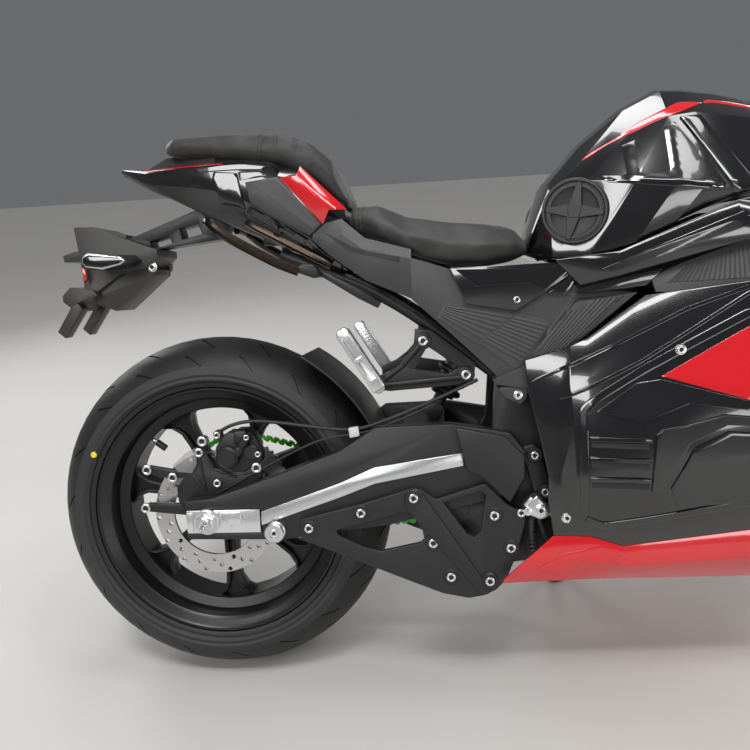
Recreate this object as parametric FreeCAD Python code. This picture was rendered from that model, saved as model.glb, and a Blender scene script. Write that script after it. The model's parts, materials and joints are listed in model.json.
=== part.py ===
import FreeCAD, Part
import os
from math import asin, atan2, cos, degrees, hypot, pi, radians, sin, tan

# Electric sport bike, parked on its side stand, in millimetres.
# The pieces are drawn upright in the bike's own frame: X forward from the rear axle, Y to the
# left, Z up from the ground under the rear tyre. At the end the whole bike is leaned to the left
# onto its side stand and moved so that the origin is under the middle of its bounding box.
# A width is measured from the centre plane, and most pieces are drawn on the left and mirrored.

# Stance
WHEELBASE = 1400.0
LEAN = 10.6             # degrees from upright to the parked lean
RAKE = 24.5             # degrees of the steering axis from upright
FORK_OFFSET = 36.0      # front axle ahead of the steering axis
FIT = 0.3               # clearance between pieces that seat on each other
RUN = 5.0               # clearance between pieces that move past each other

# Tyres and rims
REAR_RADIUS = 315.0
REAR_CROWN = 97.0
REAR_HALF_WIDTH = 90.0
FRONT_RADIUS = 300.0
FRONT_CROWN = 62.0
FRONT_HALF_WIDTH = 60.0
CROWN_FACETS = 7
SEAT_RADIUS = 213.6     # bead seat
FLANGE_RADIUS = 228.0
FLANGE_THICK = 10.0
REAR_RIM_HALF = 79.3
FRONT_RIM_HALF = 48.3
BARREL_THICK = 8.0
WELL_DEPTH = 21.0
SPOKES = 7
HUB_BORE = 12.6

# Rear wheel fittings
REAR_HUB_RADIUS = 40.0
REAR_HUB_RIGHT = 77.0
REAR_HUB_LEFT = 86.0
REAR_DISC_RADIUS = 112.7
REAR_DISC_INNER = 78.0
DISC_THICK = 5.0
DISC_HOLE = 4.0
CARRIER_THICK = 4.0
REAR_DISC_FACE = REAR_HUB_RIGHT + CARRIER_THICK + DISC_THICK
SPROCKET_TEETH = 43
CHAIN_PITCH = 15.875
CHAIN_RADIUS = 108.0    # pitch circle on the rear sprocket
CHAIN_HALF_HEIGHT = 7.5
CHAIN_WAIST = 5.0
CHAIN_IN = 95.5
CHAIN_OUT = 106.5
SPROCKET_IN = 98.0
SPROCKET_OUT = 104.0
DRIVE_RADIUS = 33.0
MOTOR_X = 455.0
MOTOR_Z = REAR_RADIUS - 40.0
MOTOR_RADIUS = 82.0
MOTOR_HALF = 84.0

# Front wheel fittings
FRONT_HUB_RADIUS = 30.0
FRONT_HUB_HALF = 60.0
FRONT_DISC_RADIUS = 150.0
FRONT_DISC_INNER = 105.0
FRONT_DISC_IN = 63.5
LEG_Y = 105.0
LEG_RADIUS = 27.0
SLIDER_RADIUS = 20.5
LEG_TOP = 672.0
LEG_BOTTOM = 262.0
LOWER_CLAMP = 445.0
UPPER_CLAMP = 625.0
CLAMP_THICK = 28.0
HEAD_RADIUS = 30.0
STEM_RADIUS = 14.0
STEM_BORE = 8.0
STEM_BORE_DEPTH = 60.0

# Axles and spools
AXLE_RADIUS = 12.3
AXLE_BORE = 8.0
NUT_RADIUS = 19.0
SPOOL_X = 121.0
SPOOL_Z = REAR_RADIUS - 19.0
SPOOL_SHANK = 9.0
SPOOL_FLANGE = 15.0
SPOOL_LENGTH = 14.0

# Swingarm
ARM_IN = 108.0
ARM_OUT = 134.0
PIVOT_X = 500.0
PIVOT_Z = REAR_RADIUS + 95.0
PIVOT_RADIUS = 10.0
STRIP_THICK = 3.0
GUARD_THICK = 12.0
PLATE_IN = 84.3         # pivot plates of the frame
PLATE_OUT = 104.0
BEAM_REAR = 345.0
BEAM_FRONT = 420.0
BEAM_TOP = 147.0        # above the rear axle
SHOCK_EYE_HALF = 22.0
SHOCK_COILS = 7

# Side covers and the gloss panels on them
COVER_IN = 128.0
COVER_THICK = 12.0
SIDE_PANEL_THICK = 7.7
FIELD_SLOPE = 0.08
SMALL_PANEL = 4.0

# Side stand
STAND_PIVOT = (600.0, 124.0, 197.0)
STAND_FOOT_X = 650.0
STAND_FOOT_Y = 262.0
STAND_RADIUS = 11.0
FOOT_THICK = 10.0
FOOT_RADIUS = 30.0

# Steering lock either way, which scratch checks and the report use


def at(x, y, z):
    return FreeCAD.Vector(x, y, z)


AXIS_X = at(1, 0, 0)
AXIS_Y = at(0, 1, 0)
AXIS_Z = at(0, 0, 1)
ORIGIN = at(0, 0, 0)


def front_wheel_drop():
    """Height of the front tyre's bottom that puts both leaned tyres on one floor."""
    lean = radians(LEAN)
    return (FRONT_CROWN - REAR_CROWN * (1 - cos(lean))) / cos(lean) - FRONT_CROWN


def floor_height(width):
    """Height of the floor, in the bike's own frame, at a width to the left."""
    lean = radians(LEAN)
    return (width * sin(lean) - REAR_CROWN * (1 - cos(lean))) / cos(lean)


REAR_AXLE = (0.0, REAR_RADIUS)
FRONT_AXLE = (WHEELBASE, FRONT_RADIUS + front_wheel_drop())
STEER_BASE = at(FRONT_AXLE[0] - FORK_OFFSET * cos(radians(RAKE)), 0,
                FRONT_AXLE[1] - FORK_OFFSET * sin(radians(RAKE)))


# Shape helpers

def face(points):
    return Part.Face(Part.makePolygon(list(points) + [points[0]]))


def plate(outline, inner, outer):
    """A flat plate from an outline of (x, z) points, between two widths."""
    return face([at(x, inner, z) for x, z in outline]).extrude(at(0, outer - inner, 0))


def arm_plate(outline, inner, outer):
    """A plate on the swingarm, from an outline of (x, height above the rear axle) points."""
    return plate([(x, z + REAR_RADIUS) for x, z in outline], inner, outer)


def block(x, y, z):
    """A box from three (low, high) pairs."""
    return Part.makeBox(x[1] - x[0], y[1] - y[0], z[1] - z[0], at(x[0], y[0], z[0]))


def drum(x, z, radius, inner, outer):
    """A cylinder across the bike."""
    return Part.makeCylinder(radius, outer - inner, at(x, inner, z), AXIS_Y)


def ring(x, z, hole, radius, inner, outer):
    return drum(x, z, radius, inner, outer).cut(drum(x, z, hole, inner - 1, outer + 1))


def rod(start, end, radius):
    way = end - start
    return Part.makeCylinder(radius, way.Length, start, way)


def turned(profile, x, z):
    """A ring turned about an axle, from a closed profile of (width, radius) points."""
    outline = face([at(x, y, z + r) for y, r in profile])
    return outline.revolve(at(x, 0, z), AXIS_Y, 360)


def closed(faces):
    """A solid from flat faces that close round it."""
    solid = Part.Solid(Part.Shell(faces))
    if solid.Volume < 0:
        solid.reverse()
    return solid


def strip(first, second):
    """Triangles between two lines of points of the same length."""
    faces = []
    for a, b, c, d in zip(first, first[1:], second, second[1:]):
        if (b - a).Length > 1e-6:
            faces.append(face([a, b, c]))
        if (d - c).Length > 1e-6:
            faces.append(face([b, d, c]))
    return faces


def loft(sections):
    """A closed solid with flat facets through flat sections with the same number of points."""
    faces = [face(sections[0]), face(sections[-1])]
    for first, second in zip(sections, sections[1:]):
        faces += strip(list(first) + [first[0]], list(second) + [second[0]])
    return closed(faces)


def mirrored(shape):
    return shape.mirror(ORIGIN, AXIS_Y)


def pair(shape):
    """The left piece and its mirror image, as two solids of one node."""
    return Part.makeCompound([shape, mirrored(shape)])


def union(shapes):
    whole = shapes[0]
    for shape in shapes[1:]:
        whole = whole.fuse(shape)
    return whole.removeSplitter()


def tube(points, radius, share=0.45):
    """Straight runs joined by tangent arcs, each as large as its two runs allow."""
    points = [at(*p) for p in points]
    edges = []
    start = points[0]
    for before, corner, after in zip(points, points[1:], points[2:]):
        back = (before - corner).normalize()
        ahead = (after - corner).normalize()
        turn = pi - back.getAngle(ahead)
        leg = share * min((before - corner).Length, (after - corner).Length)
        bend = leg / tan(turn / 2)
        middle = (back + ahead).normalize()
        centre = corner + middle * hypot(bend, leg)
        first = corner + back * leg
        last = corner + ahead * leg
        edges.append(Part.LineSegment(start, first).toShape())
        edges.append(Part.Arc(first, centre - middle * bend, last).toShape())
        start = last
    edges.append(Part.LineSegment(start, points[-1]).toShape())
    path = Part.Wire(edges)
    circle = Part.makeCircle(radius, points[0], points[1] - points[0])
    return path.makePipeShell([Part.Wire([circle])], True, False)


def skin(rows, thick):
    """A faceted panel through rows of (x, y, z) points, its inner face nearer the centre plane."""
    outer = [[at(x, y, z) for x, y, z in row] for row in rows]
    inner = [[at(x, y - thick, z) for x, y, z in row] for row in rows]
    faces = strip(outer[0], inner[0]) + strip(outer[-1], inner[-1])
    for layer in (outer, inner):
        for first, second in zip(layer, layer[1:]):
            faces += strip(first, second)
    for end in (0, -1):
        faces += strip([row[end] for row in outer], [row[end] for row in inner])
    return closed(faces)


def on_fork(shape):
    """Moves a piece drawn along the steering axis, which is its own Z, to its place."""
    shape = shape.copy()
    shape.rotate(ORIGIN, AXIS_Y, -RAKE)
    shape.translate(STEER_BASE)
    return shape


# Wheels

def tyre(radius, crown, half_width, rim_half, axle):
    edge = asin(half_width / crown)
    bead = rim_half - FLANGE_THICK - FIT
    tread = []
    for step in range(CROWN_FACETS + 1):
        angle = edge - 2 * edge * step / CROWN_FACETS
        tread.append((crown * sin(angle), radius - crown + crown * cos(angle)))
    side = [(half_width * 0.955, FLANGE_RADIUS + 11), (rim_half + 0.7, FLANGE_RADIUS + 1.5),
            (bead, FLANGE_RADIUS + 1), (bead, SEAT_RADIUS + FIT)]
    left = list(reversed(side))
    right = [(-y, r) for y, r in side]
    return turned(left + tread + right, axle[0], axle[1])


def spoke(axle, angle, foot_radius, foot_half, waist_half, tip_half):
    """One spoke, hooked forward at the rim. Columns: radius, sidestep, half breadth, half width."""
    table = [(foot_radius - 8, 0, 21, foot_half),
             (100.0, 4, 11, waist_half),
             (150.0, 8, 12, tip_half),
             (SEAT_RADIUS - WELL_DEPTH - 4, 26, 17, tip_half)]
    sections = []
    for radius, sidestep, breadth, half in table:
        sections.append([at(axle[0] + sidestep + b, y, axle[1] + radius)
                         for b, y in ((-breadth, -half), (breadth, -half), (breadth, half), (-breadth, half))])
    shape = loft(sections)
    shape.rotate(at(axle[0], 0, axle[1]), AXIS_Y, angle)
    return shape


def rim(axle, half, hub_radius, hub_right, hub_left, spoke_half, carriers):
    """The cast rim with its spokes and hub, and the plates that carry its brake discs."""
    lip = half - FLANGE_THICK
    well = 0.38 * half
    outer = [(half, FLANGE_RADIUS), (lip, FLANGE_RADIUS), (lip, SEAT_RADIUS), (well + 8, SEAT_RADIUS),
             (well, SEAT_RADIUS - WELL_DEPTH)]
    inner = [(half, FLANGE_RADIUS - 7), (half - 7, SEAT_RADIUS - BARREL_THICK),
             (well + 6, SEAT_RADIUS - BARREL_THICK), (well - 1, SEAT_RADIUS - WELL_DEPTH - BARREL_THICK)]
    profile = outer + [(-y, r) for y, r in reversed(outer)]
    profile += [(-y, r) for y, r in inner] + list(reversed(inner))
    parts = [turned(profile, axle[0], axle[1]), drum(axle[0], axle[1], hub_radius, -hub_right, hub_left)]
    for number in range(SPOKES):
        parts.append(spoke(axle, 360.0 * number / SPOKES, hub_radius, spoke_half + 8, spoke_half,
                           spoke_half - 2))
    bore = drum(axle[0], axle[1], HUB_BORE, -hub_right - 10, hub_left + 10)
    return union(parts + carriers).cut(bore)


def brake_disc(axle, hole, radius, inner, outer, columns):
    """A drilled disc. Its holes lie in three rings."""
    shape = ring(axle[0], axle[1], hole, radius, inner, outer)
    drills = []
    for row in range(3):
        middle = hole + (radius - hole) * (row + 0.7) / 3.4 + 2
        for number in range(columns):
            angle = 2 * pi * (number + row / 3.0) / columns
            drills.append(drum(axle[0] + middle * cos(angle), axle[1] + middle * sin(angle), DISC_HOLE,
                               inner - 1, outer + 1))
    return shape.cut(Part.makeCompound(drills))


def disc_carrier(axle, radius, inner, outer, windows):
    shape = ring(axle[0], axle[1], HUB_BORE + 1, radius, inner, outer)
    middle = 0.72 * radius
    for number in range(windows):
        angle = 2 * pi * number / windows
        shape = shape.cut(drum(axle[0] + middle * cos(angle), axle[1] + middle * sin(angle),
                               0.16 * radius, inner - 1, outer + 1))
    return shape


def sprocket(x, z, tip, teeth, inner, outer, bore):
    outline = []
    for number in range(2 * teeth):
        angle = pi * number / teeth
        radius = tip if number % 2 else tip - 6
        outline.append((x + radius * cos(angle), z + radius * sin(angle)))
    return plate(outline, inner, outer).cut(drum(x, z, bore, inner - 1, outer + 1))


def rear_sprocket():
    x, z = REAR_AXLE
    tip = CHAIN_RADIUS - CHAIN_HALF_HEIGHT - 2.5
    shape = sprocket(x, z, tip, SPROCKET_TEETH, SPROCKET_IN, SPROCKET_OUT, HUB_BORE + 1)
    for number in range(6):
        angle = radians(60 * number)
        shape = shape.cut(drum(x + 74 * cos(angle), z + 74 * sin(angle), 11, SPROCKET_IN - 1, SPROCKET_OUT + 1))
    boss = ring(x, z, HUB_BORE + 1, 58, REAR_HUB_LEFT, SPROCKET_IN)
    return union([shape, boss])


# Chain and drive

def chain():
    """One closed loop whose outline swells at each link and narrows between the pins."""
    x, z = REAR_AXLE
    span = hypot(MOTOR_X - x, MOTOR_Z - z)
    slope = atan2(MOTOR_Z - z, MOTOR_X - x)
    spread = asin((CHAIN_RADIUS - DRIVE_RADIUS) / span)
    run = span * cos(spread)
    top = slope + pi / 2 - spread
    big = pi + 2 * spread
    small = pi - 2 * spread
    lengths = [run, small * DRIVE_RADIUS, run, big * CHAIN_RADIUS]
    links = int(round(sum(lengths) / CHAIN_PITCH))
    step = sum(lengths) / (2 * links)
    start_top = at(x + CHAIN_RADIUS * cos(top), 0, z + CHAIN_RADIUS * sin(top))
    heading = top - pi / 2
    end_top = start_top + at(run * cos(heading), 0, run * sin(heading))
    bottom = top - small
    start_low = at(MOTOR_X + DRIVE_RADIUS * cos(bottom), 0, MOTOR_Z + DRIVE_RADIUS * sin(bottom))
    back = bottom - pi / 2
    outer = []
    inner = []
    for number in range(2 * links):
        travel = number * step
        if travel < lengths[0]:
            centre = start_top + at(travel * cos(heading), 0, travel * sin(heading))
            normal = top
        elif travel < sum(lengths[:2]):
            normal = top - (travel - lengths[0]) / DRIVE_RADIUS
            centre = at(MOTOR_X + DRIVE_RADIUS * cos(normal), 0, MOTOR_Z + DRIVE_RADIUS * sin(normal))
        elif travel < sum(lengths[:3]):
            along = travel - sum(lengths[:2])
            centre = start_low + at(along * cos(back), 0, along * sin(back))
            normal = bottom
        else:
            normal = bottom - (travel - sum(lengths[:3])) / CHAIN_RADIUS
            centre = at(x + CHAIN_RADIUS * cos(normal), 0, z + CHAIN_RADIUS * sin(normal))
        half = CHAIN_WAIST if number % 2 else CHAIN_HALF_HEIGHT
        outer.append((centre.x + half * cos(normal), centre.z + half * sin(normal)))
        inner.append((centre.x - half * cos(normal), centre.z - half * sin(normal)))
    return plate(outer, CHAIN_IN, CHAIN_OUT).cut(plate(inner, CHAIN_IN - 1, CHAIN_OUT + 1))


def drive_sprocket():
    tip = DRIVE_RADIUS - CHAIN_HALF_HEIGHT - FIT
    teeth = sprocket(MOTOR_X, MOTOR_Z, tip, 11, SPROCKET_IN, SPROCKET_OUT, 5)
    shaft = drum(MOTOR_X, MOTOR_Z, 14, MOTOR_HALF, SPROCKET_IN)
    return union([teeth, shaft])


def motor_housing():
    body = drum(MOTOR_X, MOTOR_Z, MOTOR_RADIUS, -MOTOR_HALF + 12, MOTOR_HALF - 12)
    ends = drum(MOTOR_X, MOTOR_Z, MOTOR_RADIUS - 14, -MOTOR_HALF, MOTOR_HALF)
    fins = []
    for number in range(12):
        angle = radians(30 * number)
        fin = block((MOTOR_RADIUS - 4, MOTOR_RADIUS + 5), (-MOTOR_HALF + 20, MOTOR_HALF - 20), (-3, 3))
        fin.rotate(ORIGIN, AXIS_Y, degrees(angle))
        fin.translate(at(MOTOR_X, 0, MOTOR_Z))
        fins.append(fin)
    return union([body, ends] + fins)


# Swingarm and what it carries

def swingarm():
    side = [(-40, 37), (10, 40), (112, 73), (240, 118), (302, 157), (430, 159), (528, 141), (552, 110),
            (548, 57), (505, 30), (320, -13), (134, -36), (-40, -33)]
    arm = arm_plate(side, ARM_IN, ARM_OUT)
    slot = block((-50, 96), (ARM_IN - 1, ARM_OUT + 1), (REAR_RADIUS - 22, REAR_RADIUS + 20))
    arm = arm.cut(slot)
    beam = block((BEAM_REAR, BEAM_FRONT), (-ARM_IN, ARM_IN), (REAR_RADIUS + 65, REAR_RADIUS + BEAM_TOP))
    pivot = drum(PIVOT_X, PIVOT_Z, PIVOT_RADIUS, -ARM_IN, ARM_IN)
    return union([arm, mirrored(arm), beam, pivot])


def axle_blocks():
    """The machined blocks that hold the axle in the open ends of the arms."""
    body = block((-38, 96 - FIT), (ARM_IN, ARM_OUT - 1), (REAR_RADIUS - 22 + FIT, REAR_RADIUS + 20 - FIT))
    body = body.cut(drum(REAR_AXLE[0], REAR_AXLE[1], AXLE_RADIUS + FIT, ARM_IN - 1, ARM_OUT + 1))
    return pair(body)


def rear_axle():
    x, z = REAR_AXLE
    shaft = drum(x, z, AXLE_RADIUS, -ARM_OUT - 12, ARM_OUT + 12)
    nuts = [drum(x, z, NUT_RADIUS, ARM_OUT - 1 + FIT, ARM_OUT + 9),
            drum(x, z, NUT_RADIUS, -ARM_OUT - 9, -ARM_OUT + 1 - FIT)]
    spacers = [drum(x, z, 18, SPROCKET_OUT + 0.5, ARM_IN - FIT),
               drum(x, z, 18, -REAR_DISC_FACE - RUN + FIT, -REAR_HUB_RIGHT - CARRIER_THICK - 0.5)]
    shape = union([shaft] + nuts + spacers)
    return shape.cut(drum(x, z, AXLE_BORE, -ARM_OUT - 20, ARM_OUT + 20))


def paddock_spools():
    collar = drum(SPOOL_X, SPOOL_Z, SPOOL_FLANGE, ARM_OUT + FIT, ARM_OUT + 6)
    shank = drum(SPOOL_X, SPOOL_Z, SPOOL_SHANK, ARM_OUT + 6, ARM_OUT + 6 + SPOOL_LENGTH)
    cap = drum(SPOOL_X, SPOOL_Z, SPOOL_FLANGE, ARM_OUT + 6 + SPOOL_LENGTH, ARM_OUT + 11 + SPOOL_LENGTH)
    return pair(union([collar, shank, cap]))


def swingarm_strips():
    """The bright band along the outside of each arm."""
    outline = [(97, 16), (238, 63), (299, 89), (449, 110), (449, 88), (298, 61), (236, 38), (97, -8)]
    return pair(arm_plate(outline, ARM_OUT + FIT, ARM_OUT + FIT + STRIP_THICK))


def swingarm_guards():
    """The plate below each arm, with two windows."""
    outline = [(165, 3), (272, 27), (355, 51), (366, 53), (381, 49), (401, 33), (483, 58), (489, 53), (519, 21),
               (546, 8), (548, -3), (532, -65), (514, -110), (485, -134), (451, -141), (404, -131), (352, -109),
               (266, -74), (165, -33)]
    left_window = [(228, -19), (270, -8), (345, 12), (358, 11), (366, 5), (386, -20), (384, -31), (373, -42),
                   (305, -56), (268, -47)]
    right_window = [(414, 27), (440, 36), (478, 45), (483, 39), (473, -24), (463, -35), (450, -27)]
    shape = arm_plate(outline, ARM_OUT + FIT, ARM_OUT + FIT + GUARD_THICK)
    for window in (left_window, right_window):
        shape = shape.cut(arm_plate(window, ARM_OUT - 1, ARM_OUT + GUARD_THICK + 2))
    return pair(shape)


def pivot_covers():
    outline = [(438, 155), (518, 137), (549, 105), (548, 69), (523, 26), (481, 70), (454, 83)]
    boss = drum(PIVOT_X, PIVOT_Z, PIVOT_RADIUS + RUN, ARM_OUT + FIT, ARM_OUT + 8)
    return pair(union([arm_plate(outline, ARM_OUT + STRIP_THICK + 2 * FIT, ARM_OUT + 14), boss]))


def rear_caliper():
    """Floating caliper and its carrier plate on the right of the wheel."""
    x, z = REAR_AXLE
    carrier_in = REAR_DISC_FACE + RUN
    plate_shape = plate([(x - 44, z + 22), (x + 58, z + 26), (x + 88, z + 84), (x + 40, z + 122), (x - 24, z + 140),
                         (x - 40, z + 128), (x - 76, z + 78), (x - 60, z + 58)], -ARM_IN + FIT, -carrier_in)
    lug = drum(x, z, 30, -ARM_IN + FIT, -carrier_in)
    neck = block((x - 26, x + 30), (-ARM_IN + FIT, -carrier_in), (z, z + 40))
    arms = [block((x - 130, x - 30), (-ARM_IN + FIT, -carrier_in), (z + 14, z + 34)),
            block((x - 122, x - 40), (-ARM_IN + FIT, -carrier_in), (z + 80, z + 98))]
    body = block((x - 12, x + 84), (-ARM_IN - 4, -70), (z + 82, z + 146))
    disc_gap = drum(x, z, REAR_DISC_RADIUS + RUN, -REAR_DISC_FACE - RUN + 0.5, -REAR_DISC_FACE + DISC_THICK + RUN)
    shape = union([plate_shape, lug, neck] + arms + [body]).cut(disc_gap)
    return shape.cut(drum(x, z, AXLE_RADIUS + FIT, -ARM_IN - 5, -60))


def hugger():
    """The arched mudguard on the swingarm, ahead of and above the tyre."""
    x, z = REAR_AXLE
    inner = REAR_RADIUS + 12
    outer = inner + 4
    arch = ring(x, z, inner, outer, -REAR_HALF_WIDTH - 4, REAR_HALF_WIDTH + 4)
    keep = plate([(x, z)] + [(x + 2 * outer * cos(radians(a)), z + 2 * outer * sin(radians(a)))
                             for a in (22, 40, 58)], -REAR_HALF_WIDTH - 5, REAR_HALF_WIDTH + 5)
    foot = block((x + 285, BEAM_REAR - FIT), (-40, 40), (z + BEAM_TOP - 10, z + BEAM_TOP - 4))
    wheel_room = drum(x, z, inner, -REAR_HALF_WIDTH, REAR_HALF_WIDTH)
    return union([arch.common(keep), foot.cut(wheel_room)])


def shock():
    low = at(402, 0, REAR_RADIUS + BEAM_TOP + 16)
    high = at(508, 0, 672)
    way = high - low
    parts = [rod(low, high, 12), rod(low + way * 0.14, low + way * 0.78, 22)]
    for end in (low, high):
        parts.append(drum(end.x, end.z, 16, -SHOCK_EYE_HALF, SHOCK_EYE_HALF))
    for number in range(SHOCK_COILS):
        centre = low + way * (0.19 + 0.52 * number / (SHOCK_COILS - 1))
        parts.append(Part.makeTorus(26, 5.5, centre, way))
    return union(parts)


# Frame

def frame():
    plate_outline = [(486, 430), (500, 450), (512, 590), (585, 600), (610, 470), (606, 330), (592, 222),
                     (560, 222), (536, 330), (486, 386)]
    side = plate(plate_outline, PLATE_IN, PLATE_OUT)
    side = side.cut(drum(PIVOT_X, PIVOT_Z, PIVOT_RADIUS + FIT, 0, ARM_IN))
    motor_lug = plate([(478, 240), (478, 310), (500, 345), (560, 345), (570, 222), (520, 216)], PLATE_IN,
                      CHAIN_IN - 3)
    # Columns: x, middle width, middle height, half thickness, half height
    table = [(548, 94, 560, 10, 40), (690, 108, 704, 11, 36), (900, 92, 780, 11, 34), (WHEELBASE - 314, 40, 784, 12, 28),
             (WHEELBASE - 268, 18, 788, 12, 26)]
    sections = []
    for x, y, z, thick, half in table:
        sections.append([at(x, y - thick, z - half), at(x, y + thick, z - half), at(x, y + thick, z + half),
                         at(x, y - thick, z + half)])
    spar = loft(sections)
    head = on_fork(Part.makeCylinder(HEAD_RADIUS, UPPER_CLAMP - LOWER_CLAMP - CLAMP_THICK - 6,
                                     at(0, 0, LOWER_CLAMP + CLAMP_THICK / 2 + 3)))
    hollow = on_fork(Part.makeCylinder(STEM_RADIUS + FIT, 400, at(0, 0, LOWER_CLAMP - 100)))
    tank_lug = block((740, 780), (92, 108), (726, 795))
    ties = [rod(at(570, -PLATE_OUT + 5, 250), at(570, PLATE_OUT - 5, 250), 14),
            rod(at(548, -PLATE_OUT + 5, 576), at(548, PLATE_OUT - 5, 576), 16)]
    ear_outline = [(494, 690), (494, 656), (514, 636), (534, 560), (560, 560), (560, 690)]
    ear = plate(ear_outline, SHOCK_EYE_HALF + FIT, SHOCK_EYE_HALF + 12)
    shape = union([side, mirrored(side), motor_lug, mirrored(motor_lug), spar, mirrored(spar), head,
                   ear, mirrored(ear), tank_lug, mirrored(tank_lug), stand_bracket()] + ties)
    return shape.cut(hollow)


def battery_block():
    return block((592, WHEELBASE - 370), (-PLATE_IN + FIT, PLATE_IN - FIT), (232, 640))


def subframe():
    radius = 11
    lower = tube([(150, 78, 772), (330, 84, 694), (545, 94, 524)], radius)
    upper = tube([(120, 70, 800), (300, 76, 786), (440, 84, 731), (548, 92, 600)], radius)
    ties = [rod(at(200, -72, 758), at(200, 72, 758), 9), rod(at(420, -80, 628), at(420, 80, 628), 9)]
    lugs = [rod(at(480, 84, 682), at(480, 134, 682), 8), rod(at(345, 78, 766), at(345, 134, 742), 8)]
    side = union([lower, upper] + lugs)
    return union([side, mirrored(side)] + ties)


# Body panels

def section_points(x, rows):
    """A closed section at x from (half width, height) points, low to high, both sides."""
    left = [at(x, y, z) for y, z in rows]
    right = [at(x, -y, z) for y, z in reversed(rows)]
    return left + right


# Columns: x from the rear of the tank at its full length, then half width and height of the lower edge, flank
# crease, shoulder, ridge and crown
TANK_REAR = 572.0
TANK_LENGTH = 463.0
TANK_SECTIONS = [
    (0, (70, 752), (84, 768), (70, 776), (44, 779), (20, 781)),
    (33, (116, 741), (108, 846), (86, 862), (50, 869), (22, 871)),
    (88, (138, 738), (130, 858), (98, 896), (64, 922), (28, 930)),
    (158, (150, 758), (152, 852), (106, 930), (68, 974), (30, 984)),
    (218, (152, 786), (161, 844), (112, 952), (64, 1002), (32, 1012)),
    (258, (150, 802), (161, 836), (110, 956), (58, 1000), (30, 1011)),
    (308, (146, 816), (157, 828), (104, 950), (56, 992), (28, 1003)),
    (388, (120, 826), (130, 842), (88, 938), (50, 974), (24, 983)),
    (463, (60, 836), (72, 852), (60, 906), (34, 930), (16, 936)),
]
CAP_CENTRE = (640.0, 127.0, 812.0)
CAP_YAW = 18.0
CAP_RADIUS = 52.0
CAP_ARMS = [11, 97, 194, 277]


def flank_cap(radius, depth, height):
    """The round cover on the left flank of the tank."""
    shape = Part.makeCylinder(radius, depth + height, at(0, -depth, 0), AXIS_Y)
    shape.rotate(ORIGIN, AXIS_Z, CAP_YAW)
    shape.translate(at(*CAP_CENTRE))
    return shape


def flank_caps():
    body = flank_cap(CAP_RADIUS, 8, 5)
    dish = flank_cap(CAP_RADIUS - 9, -2, 10)
    star = []
    for turn in CAP_ARMS:
        arm = plate([(-10, 0), (-3, CAP_RADIUS - 6), (3, CAP_RADIUS - 6), (10, 0)], -2, 5)
        arm.rotate(ORIGIN, AXIS_Y, turn)
        arm.rotate(ORIGIN, AXIS_Z, CAP_YAW)
        arm.translate(at(*CAP_CENTRE))
        star.append(arm)
    return pair(union([body.cut(dish)] + star))


def tank():
    stretch = (WHEELBASE - 365 - TANK_REAR) / TANK_LENGTH
    shape = loft([section_points(TANK_REAR + row[0] * stretch, row[1:]) for row in TANK_SECTIONS])
    seat = flank_cap(CAP_RADIUS + FIT, 8 + FIT, 60)
    return shape.cut(seat).cut(mirrored(seat))


# Columns: x, bottom height, top height, half width low, half width high
RIDER_SEAT = [(272, 812, 846, 92, 66), (320, 788, 842, 116, 80), (370, 765, 820, 125, 88),
              (440, 741, 806, 127, 92), (500, 739, 800, 121, 85), (548, 745, 794, 104, 66),
              (571, 752, 772, 76, 44)]
PASSENGER_SEAT = [(-50, 955, 977, 62, 50), (-32, 952, 982, 80, 66), (80, 943, 980, 92, 76),
                  (165, 930, 972, 98, 80), (212, 898, 957, 95, 78), (248, 864, 925, 88, 70),
                  (271, 847, 868, 76, 60)]


def cushion(table):
    sections = []
    for x, low, high, wide, narrow in table:
        middle = low + 0.5 * (high - low)
        sections.append(section_points(x, [(wide - 6, low), (wide, middle), (narrow, high)]))
    return loft(sections)


# Columns: x, then half width and height of the belly, lower edge, waist, rim, deck and the seat's plinth
TAIL_SECTIONS = [
    (-148, (8, 931), (14, 932), (24, 938), (22, 942), (14, 944), (7, 944.5)),
    (-88, (32, 898), (42, 900), (62, 907), (64, 926), (52, 933), (40, 936)),
    (-52, (42, 882), (54, 885), (77, 901), (77, 927), (62, 934), (52, 952)),
    (0, (56, 856), (70, 859), (90, 893), (90, 927), (74, 934), (64, 950)),
    (43, (64, 836), (80, 839), (99, 884), (99, 926), (82, 932), (72, 948)),
    (100, (70, 808), (90, 812), (106, 862), (106, 924), (88, 930), (76, 944)),
    (143, (72, 788), (94, 792), (107, 836), (107, 918), (90, 924), (78, 938)),
    (158, (74, 780), (96, 784), (108.6, 826), (108.6, 900), (90, 912), (78, 934)),
    (190, (74, 768), (96, 772), (108.8, 806), (108.8, 894), (90, 906), (78, 924)),
    (229, (76, 752), (96, 756), (109, 782), (109, 834), (90, 866), (78, 890)),
    (264, (78, 738), (96, 742), (104, 756), (102, 820), (88, 836), (76, 856)),
]
# Rows from the rear forward; each from the top down as (x, half width, height)
TAIL_SIDE_ROWS = [
    [(102, 111.5, 893), (106, 113, 876), (108, 111.5, 859)],
    [(158, 113.5, 898), (154, 116, 862), (150, 113.5, 830)],
    [(228, 114, 816), (218, 117, 807), (207, 114, 798)],
]
TAIL_RED_ROWS = [
    [(161, 113, 897.5), (191, 121, 897), (197, 110, 914)],
    [(230.5, 114, 815.5), (243, 122, 838), (271, 105, 839)],
]
# Columns: x, then width and height of the seat edge, crest and lower edge, and the width inside
COVER_TAIL = [
    (212, 113, 801, 114.5, 796, 114.5, 791, 109),
    (236, 114, 818, 119, 798, 118, 767, 109),
    (262, 116, 823, 126, 798, 123, 747, 112),
    (300, 121, 789, 134, 768, 131, 719, 119),
    (376, 133, 766, 140, 750, 140, 685, 128),
]


def tail_shell():
    return loft([section_points(row[0], row[1:]) for row in TAIL_SECTIONS])


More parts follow.
